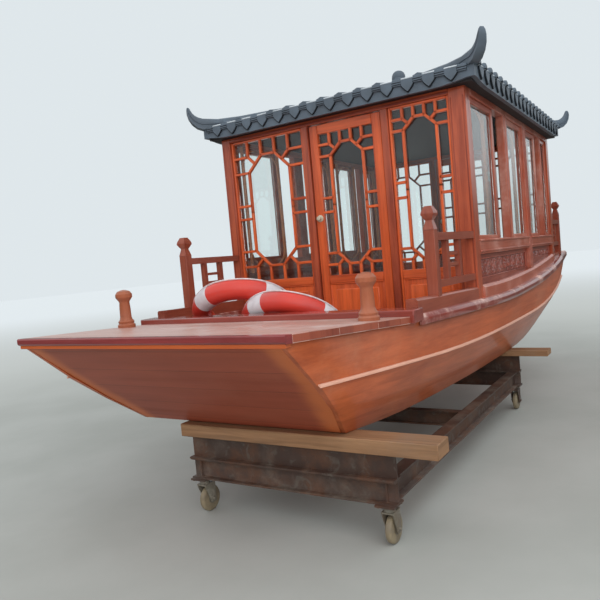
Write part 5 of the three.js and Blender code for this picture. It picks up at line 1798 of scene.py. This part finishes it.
@dataclass
class SideWalls:
    """The side walls of the cabin: ledge, carved panels, sill, sashes, posts and head.

    Trim is given as a range outwards of the wall's outer face and one upwards or along.
    """

    fore: float = -0.1003
    aft: float = -2.7497
    inner: float = 0.930
    outer: float = 1.000
    ledge: float = 0.088
    ledge_proud: float = 0.012
    ledge_chamfer: float = 0.018
    panel_top: float = 0.665
    panel_bead: tuple[Pair, Pair] = ((-0.002, 0.008), (0.012, 0.026))
    sill: float = 0.765
    sill_bead: tuple[Pair, Pair] = ((-0.002, 0.012), (-0.014, 0.0))
    low_rail: float = 0.028
    top_rail: float = 0.050
    head: float = 1.720
    head_drop: float = 0.010
    top: float = 1.757
    middle_post: Pair = (-1.645, -1.760)
    post_foot: float = -1.7
    post_trim: Pair = (0.003, 0.005)
    flutes: Sequence[float] = (0.022, 0.057, 0.092)
    flute: tuple[Pair, Pair, float] = ((0.002, 0.007), (0.10, 0.06), 0.008)
    windows: Rows = ((-0.105, -0.715), (-1.100, -1.650), (-1.755, -2.230), (-2.450, -2.745))
    mullions: Rows = ((-1.000, -1.102), (-2.390, -2.452))
    mullion_sides: Pair = (0.008, 0.006)
    reeds: Sequence[Point] = ((0.18, 0.004, 0.8), (0.5, 0.007, 0.15), (0.82, 0.004, 0.8))
    reed: tuple[float, float, Pair] = (0.10, 0.008, (0.001, 0.012))
    sash: Point = (0.056, 0.950, 0.985)
    sash_bead: tuple[Pair, float] = ((0.012, 0.004), 0.008)
    panels: tuple[tuple[str, float, float], ...] = (("fore", -0.1006, -1.6447),
                                                    ("aft", -1.7603, -2.7494))
    panel_frame: Pair = (0.044, 0.032)
    panel_inset: float = 0.070
    panel_back: float = 0.945
    panel_face: float = 0.972
    panel_floor: float = 0.9645
    panel_foot: tuple[float, float] = (0.962, 0.04)
    panel_step: float = 0.005
    panel_rows: int = 38
    bead: Point = (0.004, 0.006, 0.004)
    carving: Carving = field(default_factory=Carving)
    pole_radius: float = 0.0148
    pole_inset: Pair = (0.045, 0.0155)
    pole_ends: Pair = (0.10, 0.012)
    knots: Point = (0.02, 0.05, 0.165)
    knot: Rows = ((0.0150, -0.006), (0.0170, -0.0015), (0.0170, 0.0015), (0.0150, 0.006))
    brace_ends: Pair = (0.05, 0.03)
    brace_reach: float = 0.17
    brace_radius: float = 0.008

    def build(self) -> None:
        """Builds both walls."""
        self.build_members()
        for label, fore, aft in self.panels:
            self.build_panel(label, fore, aft)
        self.build_inside()

    def trim(self, shape: Shape, xs: Pair, place: tuple[Pair, Pair], z: float, tone: float) -> None:
        """Adds a bead along the wall.

        Args:
            shape: What it is added to.
            xs: Where it starts and ends along the wall.
            place: Its ranges outwards from the wall and upwards from the height.
            z: The height.
            tone: Its tone.
        """
        ys, zs = place
        shape.block(xs, (self.outer + ys[0], self.outer + ys[1]), (z + zs[0], z + zs[1]), X, 0.004,
                    tone)

    def build_members(self) -> None:
        """Builds the ledge, rails, posts, mullions and sashes."""
        shape = Shape(71)
        block = shape.block
        inner, outer, sill, head = self.inner, self.outer, self.sill, self.head
        SHEER.board(shape, (self.fore, self.aft), (inner, outer + self.ledge_proud),
                    (GAP, self.ledge), chamfer=self.ledge_chamfer, tone=0.3)
        front, back = self.middle_post
        for xs in ((front + GAP, self.fore), (self.aft, back - GAP)):
            block(xs, (inner, outer), (self.panel_top, sill), X, 0.004)
            self.trim(shape, xs, self.panel_bead, self.panel_top, 0.7)
            self.trim(shape, xs, self.sill_bead, sill, 0.2)
        under = head - self.head_drop
        block((self.aft, self.fore), (inner, outer), (under, self.top), X)
        foot = SHEER.z(self.post_foot)
        block((back, front), (inner, outer + self.post_trim[0]),
              (foot + self.ledge + GAP, self.top - self.post_trim[1]), Z, 0.005)
        (near, far), (above, below), wide = self.flute
        for x in (back + step for step in self.flutes):
            block((x, x + wide), (outer + near, outer + far), (foot + above, self.top - below), Z,
                  0.002, 0.85)
        half, behind, (above, below) = self.reed
        for a, b in self.mullions:
            face = outer - self.mullion_sides[1]
            block((b, a), (inner + self.mullion_sides[0], face), (sill, head), Z)
            for share, proud, tone in self.reeds:
                x, reach = b + (a - b) * share, (a - b) * half
                block((x - reach, x + reach), (outer - behind, face + proud),
                      (sill + above, head - below), Z, 0.003, tone)
        stile, *wood = self.sash
        (near, far), wide = self.sash_bead
        for a, b in self.windows:
            glass, light = (b + stile, a - stile), (sill + self.low_rail, head - self.top_rail)
            for xs in ((b, glass[0]), (glass[1], a)):
                block(xs, wood, (sill, under), Z, 0.004)
            # The bottom rail's light tone is a painted highlight.
            block(glass, wood, (sill, light[0]), X, 0.004, 0.05)
            block(glass, wood, (light[1], under), X, 0.004)
            for x in (glass[0], glass[1] - wide):
                block((x, x + wide), (wood[1] - near, wood[1] - far), light, Z, 0.003, 0.7)
        both_sides("side_frame_joined", shape, Finishes.SIDE, "side_frame")

    def build_panel(self, label: str, fore: float, aft: float) -> None:
        """Builds the carved panels of one bay, on both sides.

        Args:
            label: The bay's name.
            fore: Its fore end.
            aft: Its aft end.
        """
        shape = Shape(81)
        back, face = self.panel_back, self.panel_face
        low = SHEER.z((fore + aft) / 2) + self.ledge + self.panel_frame[0]
        high = self.panel_top - self.panel_frame[1]
        left, right = aft + self.panel_inset, fore - self.panel_inset
        side, rise = self.panel_foot
        SHEER.board(shape, (fore, aft), (back, side), (self.ledge + GAP, self.ledge + rise),
                    tone=0.5)
        xs, zs = np.meshgrid(np.linspace(left, right, int((right - left) / self.panel_step)),
                             np.linspace(low, high, self.panel_rows))
        grid = np.stack([xs, self.panel_floor + self.carving.relief(xs, zs), zs], -1)
        shape.sheet(grid[::-1], 0.55)
        bottom = [(SHEER.z(x) + self.ledge + GAP, x) for x in SHEER.between(fore, aft, 0.01)]
        shape.prism([*bottom, (low, aft), (low, fore)], Y, (back, face), tone=0.5)
        shape.block((aft, fore), (back, face), (high, self.panel_top - GAP), X, 0.002, 0.45)
        for ends in ((aft, left), (right, fore)):
            shape.block(ends, (back, face), (low, high), Z, 0.002, 0.5)
        half, behind, proud = self.bead
        bead = (face - behind, face + proud)
        for z in (low, high):
            shape.block((left, right), bead, (z - half, z + half), X, 0.003, 0.2)
        for x in (left, right):
            shape.block((x - half, x + half), bead, (low, high), Z, 0.003, 0.2)
        both_sides(f"carved_panel_{label}_cut", shape, Finishes.CARVING, f"carved_panel_{label}")

    def build_inside(self) -> None:
        """Builds the round poles and corner braces on the walls' inner side."""
        poles, knots, braces = [], [], []
        y = self.inner - self.pole_inset[1]
        arc = self.brace_reach * (1 - turn_round(np.linspace(0, math.pi / 2, 9)))
        ends = ((self.sill - self.brace_ends[0], 1), (self.head - self.brace_ends[1], -1))
        for (fore, aft), toward in product(self.windows, (-1, 1)):
            x = (fore if toward < 0 else aft) + toward * self.pole_inset[0]
            poles.append([(x, y, self.sill - self.pole_ends[0]),
                          (x, y, self.head - self.pole_ends[1])])
            knots += [(x, y, z) for z in np.arange(self.sill - self.knots[0],
                                                   self.head - self.knots[1], self.knots[2])]
            braces += [[(x + toward * a, y, z + up * b) for a, b in arc] for z, up in ends]
        knot = Shape(91)
        knot.lathe(self.knot, (0, 0, 0), sides=14)
        for side, sign in SIDES:
            flip = np.array([1.0, sign, 1.0])
            FOLLOW.piece(f"cabin_poles_{side}", [np.asarray(p) * flip for p in poles],
                         self.pole_radius, Finishes.BAMBOO, sides=14)
            REPEAT.piece(f"cabin_pole_knots_{side}", knot,
                         [(np.asarray(p) * flip, (0, 0, 0), (1, 1, 1)) for p in knots],
                         Finishes.BAMBOO)
            FOLLOW.piece(f"cabin_braces_{side}", [np.asarray(p) * flip for p in braces],
                         self.brace_radius, Finishes.BAMBOO)


@dataclass
class Inside:
    """The sole, the benches, the ceiling and the panes."""

    def dress(self) -> None:
        """Gives these CAD nodes their finishes."""
        dress("sole_and_benches", Finishes.INSIDE, bevel=0.003)
        dress("ceiling", Finishes.CEILING, grain=AHEAD)
        for name, node in frame["nodes"].items():
            if "glass" in name:
                node.data.materials.clear()
                node.data.materials.append(Finishes.material(Finishes.GLASS))


class Slope(Enum):
    """The four slopes, with the way that each one looks."""

    FORE = 0
    PORT = 90
    AFT = 180
    STARBOARD = -90


@dataclass
class Roof:
    """The hipped roof: tile courses, ridges with upturned horns and drip tiles on the fascia.

    Units of tiles are drawn about their own origin, out of the roof along -X or X and up along
    Z. Rows of arches are a length and a radius. Rows of horns and hips are the level distance
    and the height of the foot and of the top, and the share of the full width.
    """

    fore: float = 0.095
    aft: float = -2.945
    half: float = 1.095
    eave: float = 1.855
    middle: float = 1.958
    ridge: float = 2.095
    ridge_fore: float = -0.950
    ridge_aft: float = -1.900
    ridge_half: float = 0.008
    fascia_low: float = 1.753
    fascia_corner: float = 1.786
    fascia_rise: float = 0.300
    end_pitch: float = 0.146
    side_pitch: float = 0.139
    course: float = 0.118
    margins: Point = (0.03, 0.004, 0.01)
    lifts: Point = (-0.018, 0.002, 0.004)
    drip_length: float = 0.084
    drip_gap: float = 0.010
    barrel: Rows = ((0.0, 0.0225), (0.0, 0.0290), (0.014, 0.0290), (0.122, 0.0240))
    pan: Rows = ((0.0, -0.004), (0.0, 0.010), (0.012, 0.010), (0.122, 0.002))
    pan_sag: Pair = (0.056, 0.010)
    cap: Rows = ((-0.026, 0.002), (-0.026, 0.0200), (-0.022, 0.0285), (-0.012, 0.0320),
                 (0.004, 0.0310), (0.030, 0.0300))
    block: tuple[Pair, Pair, Pair] = ((-0.016, 0.030), (-0.031, 0.031), (-0.042, 0.002))
    # Painted shadows under each eave block: the bars' depth and width, and the height range of each
    # bar.
    shadow_bar: tuple[Pair, Pair] = ((-0.0175, -0.010), (-0.032, 0.034))
    shadow_bar_levels: Rows = ((-0.022, -0.016), (-0.036, -0.030))
    # The painted highlight strip along the eave: its depth, width and height.
    highlight_strip: tuple[Pair, Pair, Pair] = ((-0.020, 0.0135), (-0.0430, 0.0430), (-0.003, 0.006))
    shield: Rows = ((0.0480, 0.0), (0.0475, -0.015), (0.0430, -0.030), (0.0340, -0.046),
                    (0.0215, -0.060), (0.0090, -0.073), (0.0, -0.080))
    strata: Rows = ((0.0, 1.0), (0.20, 1.0), (0.24, 0.78), (0.42, 0.78), (0.46, 0.94),
                    (0.64, 0.94), (0.68, 0.72), (0.86, 0.66), (1.0, 0.30))
    horn: Sequence[Sequence[float]] = (
        (0.0, 1.846, 0.0, 1.938, 1.0), (0.045, 1.862, 0.035, 1.949, 1.0),
        (0.085, 1.896, 0.060, 1.964, 0.96), (0.110, 1.938, 0.079, 1.985, 0.88),
        (0.121, 1.980, 0.090, 2.006, 0.74), (0.122, 2.008, 0.097, 2.022, 0.56),
        (0.118, 2.026, 0.106, 2.030, 0.30))
    hip: Sequence[Point] = ((0.0, 2.062, 2.138), (0.25, 1.998, 2.072), (0.5, 1.938, 2.012),
                            (0.8, 1.876, 1.946), (0.92, 1.855, 1.930))
    hip_half: float = 0.034
    ridge_cap: Sequence[float] = (0.04, 2.062, 2.142, 0.036)
    plinth: Sequence[float] = (0.06, 0.04, 2.10, 2.170)
    finial_foot: float = 2.154
    finial: Rows = ((0.058, 0.0), (0.058, 0.026), (0.050, 0.036), (0.034, 0.044), (0.030, 0.060),
                    (0.029, 0.092), (0.044, 0.108), (0.056, 0.130), (0.062, 0.155),
                    (0.060, 0.180), (0.050, 0.203), (0.034, 0.217), (0.012, 0.225), (0.0, 0.226))

    def is_end(self, slope: Slope) -> bool:
        """Tells whether a slope is over the front or the rear wall."""
        return slope in (Slope.FORE, Slope.AFT)

    def half_eave(self, slope: Slope) -> float:
        """Gives half the length of a slope's eave."""
        return self.half if self.is_end(slope) else (self.fore - self.aft) / 2

    def run(self, slope: Slope) -> float:
        """Gives the level distance from a slope's eave to the ridge."""
        return self.fore - self.ridge_fore if self.is_end(slope) else self.half - self.ridge_half

    def place(self, slope: Slope, across: float, inward: float, lift: float = 0.0) -> np.ndarray:
        """Gives a point on a slope.

        Args:
            slope: The slope.
            across: The distance along its eave from the eave's middle.
            inward: The level distance up from the eave.
            lift: How far it is above the surface.

        Returns:
            The point.
        """
        z = lift + np.interp(max(inward, 0.0) / self.run(slope), (0.0, 0.5, 1.0),
                             (self.eave, self.middle, self.ridge))
        if self.is_end(slope):
            x = self.fore - inward if slope is Slope.FORE else self.aft + inward
            return np.array([x, across, z])
        side = 1 if slope is Slope.PORT else -1
        return np.array([(self.fore + self.aft) / 2 + across, side * (self.half - inward), z])

    def reach(self, slope: Slope, across: float) -> float:
        """Gives the level distance from the eave to the hip or the ridge.

        Args:
            slope: The slope.
            across: The distance along its eave from the eave's middle.

        Returns:
            The distance.
        """
        end = self.is_end(slope)
        top = self.ridge_half if end else (self.ridge_fore - self.ridge_aft) / 2
        share = (self.half_eave(slope) - abs(across)) / (self.half_eave(slope) - top)
        return self.run(slope) * (share if end else min(1.0, share))

    def courses(self, slope: Slope, across: float, lift: float, wide: float) -> list[Stand]:
        """Stands one tile after another up a slope.

        Args:
            slope: The slope.
            across: Where they start along the eave.
            lift: How far they are above the roof's surface.
            wide: Their width as a share of the unit's.

        Returns:
            The place, turn and size of each.
        """
        stands = []
        short, start, over = self.margins
        end = self.reach(slope, across) - short
        inward = -start
        while inward < end:
            here = self.place(slope, across, inward, lift)
            there = self.place(slope, across, inward + self.course, lift)
            rise = math.atan2(there[2] - here[2], self.course)
            length = min(self.course, end - inward + over) / self.course / math.cos(rise)
            stands.append((here, (0.0, -rise, math.radians(slope.value + 180)),
                           (length, wide, 1.0)))
            inward += self.course
        return stands

    def arch(self, rows: Rows, angles: np.ndarray, rise: float) -> Shape:
        """Makes the unit of a roll or a cap.

        Args:
            rows: Its arches.
            angles: The angles at which they have points.
            rise: Their height as a share of their radius.

        Returns:
            The unit.
        """
        shape = Shape()
        shape.sheet(np.array([[(x, -r * c, r * rise * s) for c, s in turn_round(angles)]
                              for x, r in rows]), 0.4)
        return shape

    def sagging(self) -> Shape:
        """Makes the unit between rolls: a sagging tile with a raised lower end.

        Returns:
            The unit.
        """
        shape = Shape()
        half, sag = self.pan_sag
        shape.sheet(np.array([[(x, y * half, up - sag * (1 - y * y)) for y in np.linspace(-1, 1, 6)]
                              for x, up in self.pan]), 0.4)
        return shape

    def blocks(self, rows: Iterable[Sequence[Pair]], along: Axis, chamfer: float) -> Shape:
        """Makes a unit of planks.

        Args:
            rows: The ranges of each.
            along: The way of their grain.
            chamfer: Their chamfer.

        Returns:
            The unit.
        """
        shape = Shape()
        for row in rows:
            shape.block(*row, along, chamfer, 0.4)
        return shape

    def drip(self, grow: float, span: Pair) -> Shape:
        """Makes the unit of a drip tile: a pointed shield.

        Args:
            grow: How much larger it is than its outline.
            span: How far out it starts and ends.

        Returns:
            The unit.
        """
        side = [(y + grow, z - grow * 1.4) if y else (0.0, z - grow * 2.0) for y, z in self.shield]
        shape = Shape()
        shape.prism([*side, *((-y, z) for y, z in reversed(side[:-1]))], X, span, grain=UNIT[Y],
                    tone=0.4)
        return shape

    def fascia_edge(self, slope: Slope, across: float) -> float:
        """Gives the height of the fascia's lower edge."""
        share = max(0.0, 1 - (self.half_eave(slope) - abs(across)) / self.fascia_rise)
        return self.fascia_low + (self.fascia_corner - self.fascia_low) * share ** 2

    def build_tiles(self) -> None:
        """Builds the rolls, the pans, the eave ends and the drip tiles."""
        barrels, pans, caps, blocks, drips, highlight_strips = [], [], [], [], [], []
        end_lift, side_lift, pan_lift = self.lifts
        for slope in Slope:
            end = self.is_end(slope)
            pitch = self.end_pitch if end else self.side_pitch
            count = 15 if end else 22
            yaw, wide = math.radians(slope.value), pitch / self.end_pitch
            places = [(k - (count - 1) / 2) * pitch for k in range(count)]
            for across in places:
                barrels += self.courses(slope, across, end_lift if end else side_lift, 1.0)
                (blocks if end else caps).append(
                    (self.place(slope, across, 0.0, 0.003), (0.0, 0.0, yaw + math.pi), (1, 1, 1)))
            for across in [(a + b) / 2 for a, b in zip(places, places[1:])]:
                pans += self.courses(slope, across, pan_lift, wide)
                top = self.eave - 0.004
                size = min(1.0, (top - self.fascia_edge(slope, across) - self.drip_gap)
                           / self.drip_length)
                x, y, _ = self.place(slope, across, -0.0004)
                drips.append(((x, y, top), (0.0, 0.0, yaw), (1.0, wide, size)))
                highlight_strips.append(((x, y, self.eave), (0.0, 0.0, yaw), (1.0, wide, 1.0)))
        arc = np.linspace(0.0, math.pi, 9), np.linspace(-0.35, math.pi + 0.35, 15)
        for name, made, stands, finish in (
                ("roof_tile_rolls", self.arch(self.barrel, arc[0], 0.95), barrels, Finishes.TILE),
                ("roof_tile_pans", self.sagging(), pans, Finishes.TILE),
                ("eave_roll_caps", self.arch(self.cap, arc[1], 1.0), caps, Finishes.TILE),
                ("eave_end_blocks", self.blocks([self.block], X, 0.003), blocks, Finishes.TILE),
                # Two dark bars under each eave block paint the shadows under the roll ends.
                ("eave_end_grooves",
                 self.blocks([(*self.shadow_bar, zs) for zs in self.shadow_bar_levels], Y, 0.001), blocks,
                 Finishes.TILE_SHADE),
                ("eave_drip_tiles", self.drip(0.0, (0.0105, 0.0140)), drips, Finishes.TILE),
                # A dark, slightly larger copy behind each drip tile paints the shade round its
                # outline and along its underside.
                ("eave_drip_edges", self.drip(0.0038, (0.0, 0.0105)), drips, Finishes.TILE_SHADE),
                # Pale strips along the eave's top edge paint the sky's reflection on the slope.
                ("eave_drip_lips", self.blocks([self.highlight_strip], Y, 0.003), highlight_strips, Finishes.TILE_HIGHLIGHT)):
            REPEAT.piece(name, made, stands, finish)

    def stratum(self, low: np.ndarray, high: np.ndarray, side: np.ndarray) -> list[np.ndarray]:
        """Gives the section of a ridge: courses one above the other.

        Args:
            low: The middle of its foot.
            high: The middle of its top.
            side: From the middle to the side of its foot.

        Returns:
            The section's corners.
        """
        right = [low + (high - low) * f + side * w for f, w in self.strata]
        return right + [low + (high - low) * f - side * w for f, w in reversed(self.strata)]

    def build_ridges(self) -> None:
        """Builds the ridge, the hips with their horns, and the finial."""
        shape = Shape(111)
        for corner, start in ((self.fore, self.ridge_fore), (self.aft, self.ridge_aft)):
            for y in (self.half, -self.half):
                run = math.hypot(corner - start, y)
                way = np.array([(corner - start) / run, y / run, 0.0])
                rows = [(run * share, low, run * share, high, 1.0) for share, low, high in self.hip]
                rows += [(run + a, low, run + b, high, wide) for a, low, b, high, wide in self.horn]
                side = np.cross(UNIT[Z], way) * self.hip_half
                from_ridge = np.array([start, 0.0, 0.0])
                shape.loft([self.stratum(from_ridge + way * a + UNIT[Z] * low,
                                         from_ridge + way * b + UNIT[Z] * high, side * wide)
                            for a, low, b, high, wide in rows], tone=0.4)
        past, low, high, half = self.ridge_cap
        shape.loft([self.stratum(np.array([x, 0, low]), np.array([x, 0, high]), UNIT[Y] * half)
                    for x in (self.ridge_aft - past, self.ridge_fore + past)], tone=0.4)
        middle = (self.fore + self.aft) / 2
        x, y, low, high = self.plinth
        shape.block((middle - x, middle + x), (-y, y), (low, high), X, 0.006, 0.4)
        shape.lathe(self.finial, (middle, 0.0, self.finial_foot), sides=32, tone=0.4)
        shape.piece("roof_ridges_built", Finishes.TILE, replaces=("roof_ridges",))

    def build(self) -> None:
        """Builds the whole roof."""
        dress("roof_shell", Finishes.TILE, bevel=0.003)
        self.build_tiles()
        self.build_ridges()


@dataclass
class LifeRing:
    """A life ring with white bands and a grab line that hugs its rim."""

    name: str
    centre: Point
    lean: Pair
    band_turn: float
    major: float = 0.290
    minor: float = 0.068
    band: tuple[int, float, float] = (4, 0.18, 0.0012)
    line: Sequence[float] = (0.78, 0.11, 0.0055, 0.0048)

    def point(self, around: float, over: float, proud: float = 0.0) -> np.ndarray:
        """Gives a point on or above the ring's skin.

        Args:
            around: The angle round the ring.
            over: The angle round its section, 0 outwards.
            proud: How far above the skin it is.

        Returns:
            The point in the boat's frame.
        """
        r = self.minor + proud
        reach = self.major + r * math.cos(over)
        flat = (reach * math.cos(around), reach * math.sin(around), r * math.sin(over))
        about_x, about_y = (np.array(Matrix.Rotation(angle, 3, axis))
                            for angle, axis in zip(self.lean, "XY"))
        return about_x @ about_y @ flat + self.centre

    def skin(self, shape: Shape, span: Pair, steps: int, proud: float, caps: bool) -> None:
        """Adds a stretch of the ring's skin.

        Args:
            shape: What it is added to.
            span: The angles at which it starts and ends.
            steps: How many sections it has.
            proud: How far it is above the ring's own skin.
            caps: Whether its ends are closed.
        """
        over = np.linspace(0, 2 * math.pi, 28, endpoint=False)
        shape.loft([[self.point(a, b, proud) for b in over] for a in np.linspace(*span, steps)],
                   caps=caps, smooth=True, grain=AHEAD, tone=0.4)

    def build(self) -> None:
        """Builds the ring, its bands and its line."""
        cover, bands = Shape(), Shape()
        self.skin(cover, (0, 2 * math.pi), 73, 0.0, False)
        cover.piece(f"{self.name}_cover", Finishes.RING, replaces=(self.name,), crease=80)
        count, half, proud = self.band
        for k in range(count):
            middle = self.band_turn + k * 2 * math.pi / count
            self.skin(bands, (middle - half, middle + half), 12, proud, True)
        bands.piece(f"{self.name}_bands", Finishes.RING_BAND, crease=50)
        over, sag, proud, radius = self.line
        path = [self.point(a, over - sag * (1 - math.cos(count * (a - self.band_turn))), proud)
                for a in np.linspace(0, 2 * math.pi, 96, endpoint=False)]
        FOLLOW.piece(f"{self.name}_line", [path], radius, Finishes.ROPE, closed=True)


@dataclass
class Trolley:
    """The welded trolley with its casters and timbers."""

    ends: tuple[tuple[str, float], ...] = (("near", 1.380), ("far", -1.250))
    half_track: float = 0.585
    rail_bottom: float = 0.212
    trail: float = 0.032
    wheel_radius: float = 0.075
    hub_half: float = 0.0185
    hub: Rows = ((0.0082, 0.0), (0.030, 0.0), (0.030, 0.0012), (0.024, 0.0018), (0.0082, 0.0018))
    bolt: Rows = ((0.0, 0.0), (0.0105, 0.0), (0.0105, 0.005), (0.009, 0.0068), (0.0, 0.007))
    bolt_places: Pair = (0.042, 0.040)
    bolt_drop: float = 0.008
    weld: Sequence[float] = (0.045, 0.037, 0.1190)
    weld_wave: Pair = (0.006, 0.0012)
    weld_radius: float = 0.0034

    def build(self) -> None:
        """Builds and finishes everything of the trolley."""
        low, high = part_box("trolley_frame")
        origin = (float(BOAT_ORIGIN[0]), float(low.y + high.y) / 2, 0.0)
        dress("trolley_frame", Finishes.STEEL, bevel=0.0015)
        bolt = Shape()
        bolt.lathe(self.bolt, (0, 0, 0), sides=6, smooth=False, tone=0.4)
        bolts, welds = [], []
        for (end, x), (side, sign) in product(self.ends, SIDES):
            if sign > 0:
                dress(f"trolley_timber_{end}", Finishes.TIMBER, bevel=0.004)
            if end == "near":
                fork = f"caster_fork_near_{side}"
                dress(fork, Finishes.ZINC, Body(fork), bevel=0.0015)
            y = sign * self.half_track
            wheel = f"caster_wheel_{end}_{side}"
            dress(wheel, Finishes.NYLON, Body(wheel), bevel=0.004, smooth=True)
            hub = Shape(131)
            for way in (1, -1):
                hub.lathe(self.hub, (x - self.trail, y + way * self.hub_half, self.wheel_radius),
                          (0, way, 0), 24)
            hub.piece(f"{wheel}_hub", Finishes.ZINC, Body(wheel), origin=origin)
            dx, dy = self.bolt_places
            bolts += [((x + a * dx, y + b * dy, self.rail_bottom - self.bolt_drop),
                       (math.pi, 0, 0), (1, 1, 1)) for a, b in product((-1, 1), repeat=2)]
            back, aside, up = self.weld
            step, wave = self.weld_wave
            welds += [[(x - back + step * i, y + way * aside,
                        self.rail_bottom + up + wave * (i % 2)) for i in range(16)]
                      for way in (-1, 1)]
        REPEAT.piece("caster_plate_bolts", bolt, bolts, Finishes.ZINC, origin)
        FOLLOW.piece("trolley_welds", welds, self.weld_radius, Finishes.STEEL, 6, origin=origin)


@dataclass
class Studio:
    """The camera, the light and the floor."""

    eye: Point = (4.8483, 2.1419, 1.4106)
    ahead: Point = (-0.84497, -0.53116, -0.06246)
    right: Point = (-0.52526, 0.84617, -0.08997)
    down: Point = (0.10064, -0.04322, -0.99398)
    lens: float = 36.9
    sensor: float = 36.0
    clip: Pair = (0.05, 500.0)
    backdrop: Colour = (0.74, 0.80, 0.83)
    overcast: Colour = (0.78, 0.82, 0.85)
    surroundings: Colour = (0.085, 0.075, 0.060)
    horizon: Pair = (0.03, 0.16)
    lamps: tuple[tuple[str, Point, float, float], ...] = (("key", (7.0, 5.5, 7.5), 9.0, 420.0),
                                                          ("low", (9.0, 3.5, 1.2), 4.0, 160.0))
    lit: Point = (0, 0, 1.2)
    floor_half: float = 60.0
    floor: tuple[Colour, Colour, Colour] = ((0.40, 0.41, 0.38), (0.47, 0.48, 0.45),
                                            (0.62, 0.63, 0.59))
    paling: Pair = (2.0, 9.0)
    dimming: Pair = (3.0, 10.0)
    fading: Pair = (4.0, 26.0)

    def build(self) -> None:
        """Builds the camera, the light and the floor."""
        scene = bpy.context.scene
        camera = in_scene("camera", bpy.data.cameras.new("camera"))
        turn = Matrix((self.right, tuple(-v for v in self.down), tuple(-v for v in self.ahead)))
        camera.matrix_world = Matrix.Translation(self.eye) @ turn.transposed().to_4x4()
        camera.data.lens, camera.data.sensor_width = self.lens, self.sensor
        camera.data.clip_start, camera.data.clip_end = self.clip
        scene.camera = camera
        scene.view_settings.view_transform = "Standard"
        scene.world = self.sky()
        for name, place, size, power in self.lamps:
            data = bpy.data.lights.new(name, "AREA")
            data.shape, data.size, data.energy = "SQUARE", size, power
            lamp = in_scene(name, data)
            lamp.location, lamp.rotation_mode = place, "QUATERNION"
            lamp.rotation_quaternion = (Vector(place) - Vector(self.lit)).to_track_quat("Z", "Y")
            lamp.visible_glossy = False
        mesh = bpy.data.meshes.new("floor")
        corners = ((-1, -1), (1, -1), (1, 1), (-1, 1))
        mesh.from_pydata([(x * self.floor_half, y * self.floor_half, 0) for x, y in corners], [],
                         [(0, 1, 2, 3)])
        mesh.materials.append(self.floor_material())
        in_scene("floor", mesh)

    def seen(self, graph: Graph) -> Socket:
        """Gives 1 on the rays that the camera sees, straight or through glass, and 0 on others."""
        rays = graph.node("ShaderNodeLightPath").outputs
        return graph.math("MAXIMUM", rays["Is Camera Ray"], rays["Is Transmission Ray"])

    def sky(self) -> bpy.types.World:
        """Makes the light of an overcast sky over dark surroundings, and the backdrop that is seen.

        Returns:
            The world.
        """
        world = bpy.data.worlds.new("soft_sky")
        world.use_nodes = True
        graph = Graph(world.node_tree)
        height = graph.parts(graph.node("ShaderNodeTexCoord").outputs["Generated"])[2]
        light = graph.mix(graph.range(height, *self.horizon), self.surroundings, self.overcast)
        graph.feed(world.node_tree.nodes["Background"].inputs["Color"],
                   graph.mix(self.seen(graph), light, self.backdrop))
        return world

    def floor_material(self) -> Material:
        """Makes the pale floor's material.

        Returns:
            The material.
        """
        material, graph, shader = start_material("pale_floor")
        place = graph.place()
        first, second, far = self.floor
        clouds = graph.noise(place, 0.7, detail=6.0)
        pale = graph.mix(graph.range(clouds, 0.3, 0.7), first, second)
        distance, seen = graph.vector("LENGTH", place, output=1), self.seen(graph)
        pale = graph.mix(graph.range(distance, *self.paling), pale, far)
        dim = graph.mul(graph.range(distance, *self.dimming), graph.sub(1.0, seen))
        fade = graph.mul(graph.range(distance, *self.fading), seen)
        near = graph.mix(dim, pale, self.surroundings)
        for key, value in (("Base Color", graph.mix(fade, near, (0.0, 0.0, 0.0))),
                           ("Emission Color", self.backdrop), ("Emission Strength", fade),
                           ("Specular IOR Level", 0.1), ("Roughness", 0.85)):
            graph.feed(shader.inputs[key], value)
        return material


def main() -> None:
    """Builds every part of the picture in turn."""
    logging.basicConfig(level=logging.INFO, format="%(name)s: %(message)s")
    hull = Hull()
    hull.dress()
    hull.build()
    Railing("bow", newel=(0.640, 0.930), wall=(0.0003, 0.965), top=0.820, low=0.545,
            kerb=(0.9597, 0.080, 0.034, 0.010)).build()
    Railing("stern", newel=(-3.370, 0.950), wall=(-2.8503, 0.950), top=0.925, low=0.690,
            kerb=(-3.370, 0.040, 0.022, 0.0)).build()
    EndWall("front", 0.0, -1, 0.052, Body.FRONT_DOOR).build()
    EndWall("rear", -2.850, 1, 0.147, Body.REAR_DOOR).build()
    SideWalls().build()
    Inside().dress()
    Roof().build()
    LifeRing("life_ring_upper", (0.665, -0.421, 0.4124), (0.293, -0.562), 1.326).build()
    LifeRing("life_ring_middle", (0.6734, -0.0233, 0.2973), (0.088, -0.716), 1.290).build()
    LifeRing("life_ring_lower", (0.5446, -0.2757, 0.1806), (0.252, -0.032), 0.4).build()
    Trolley().build()
    Studio().build()


if __name__ == "__main__":
    main()
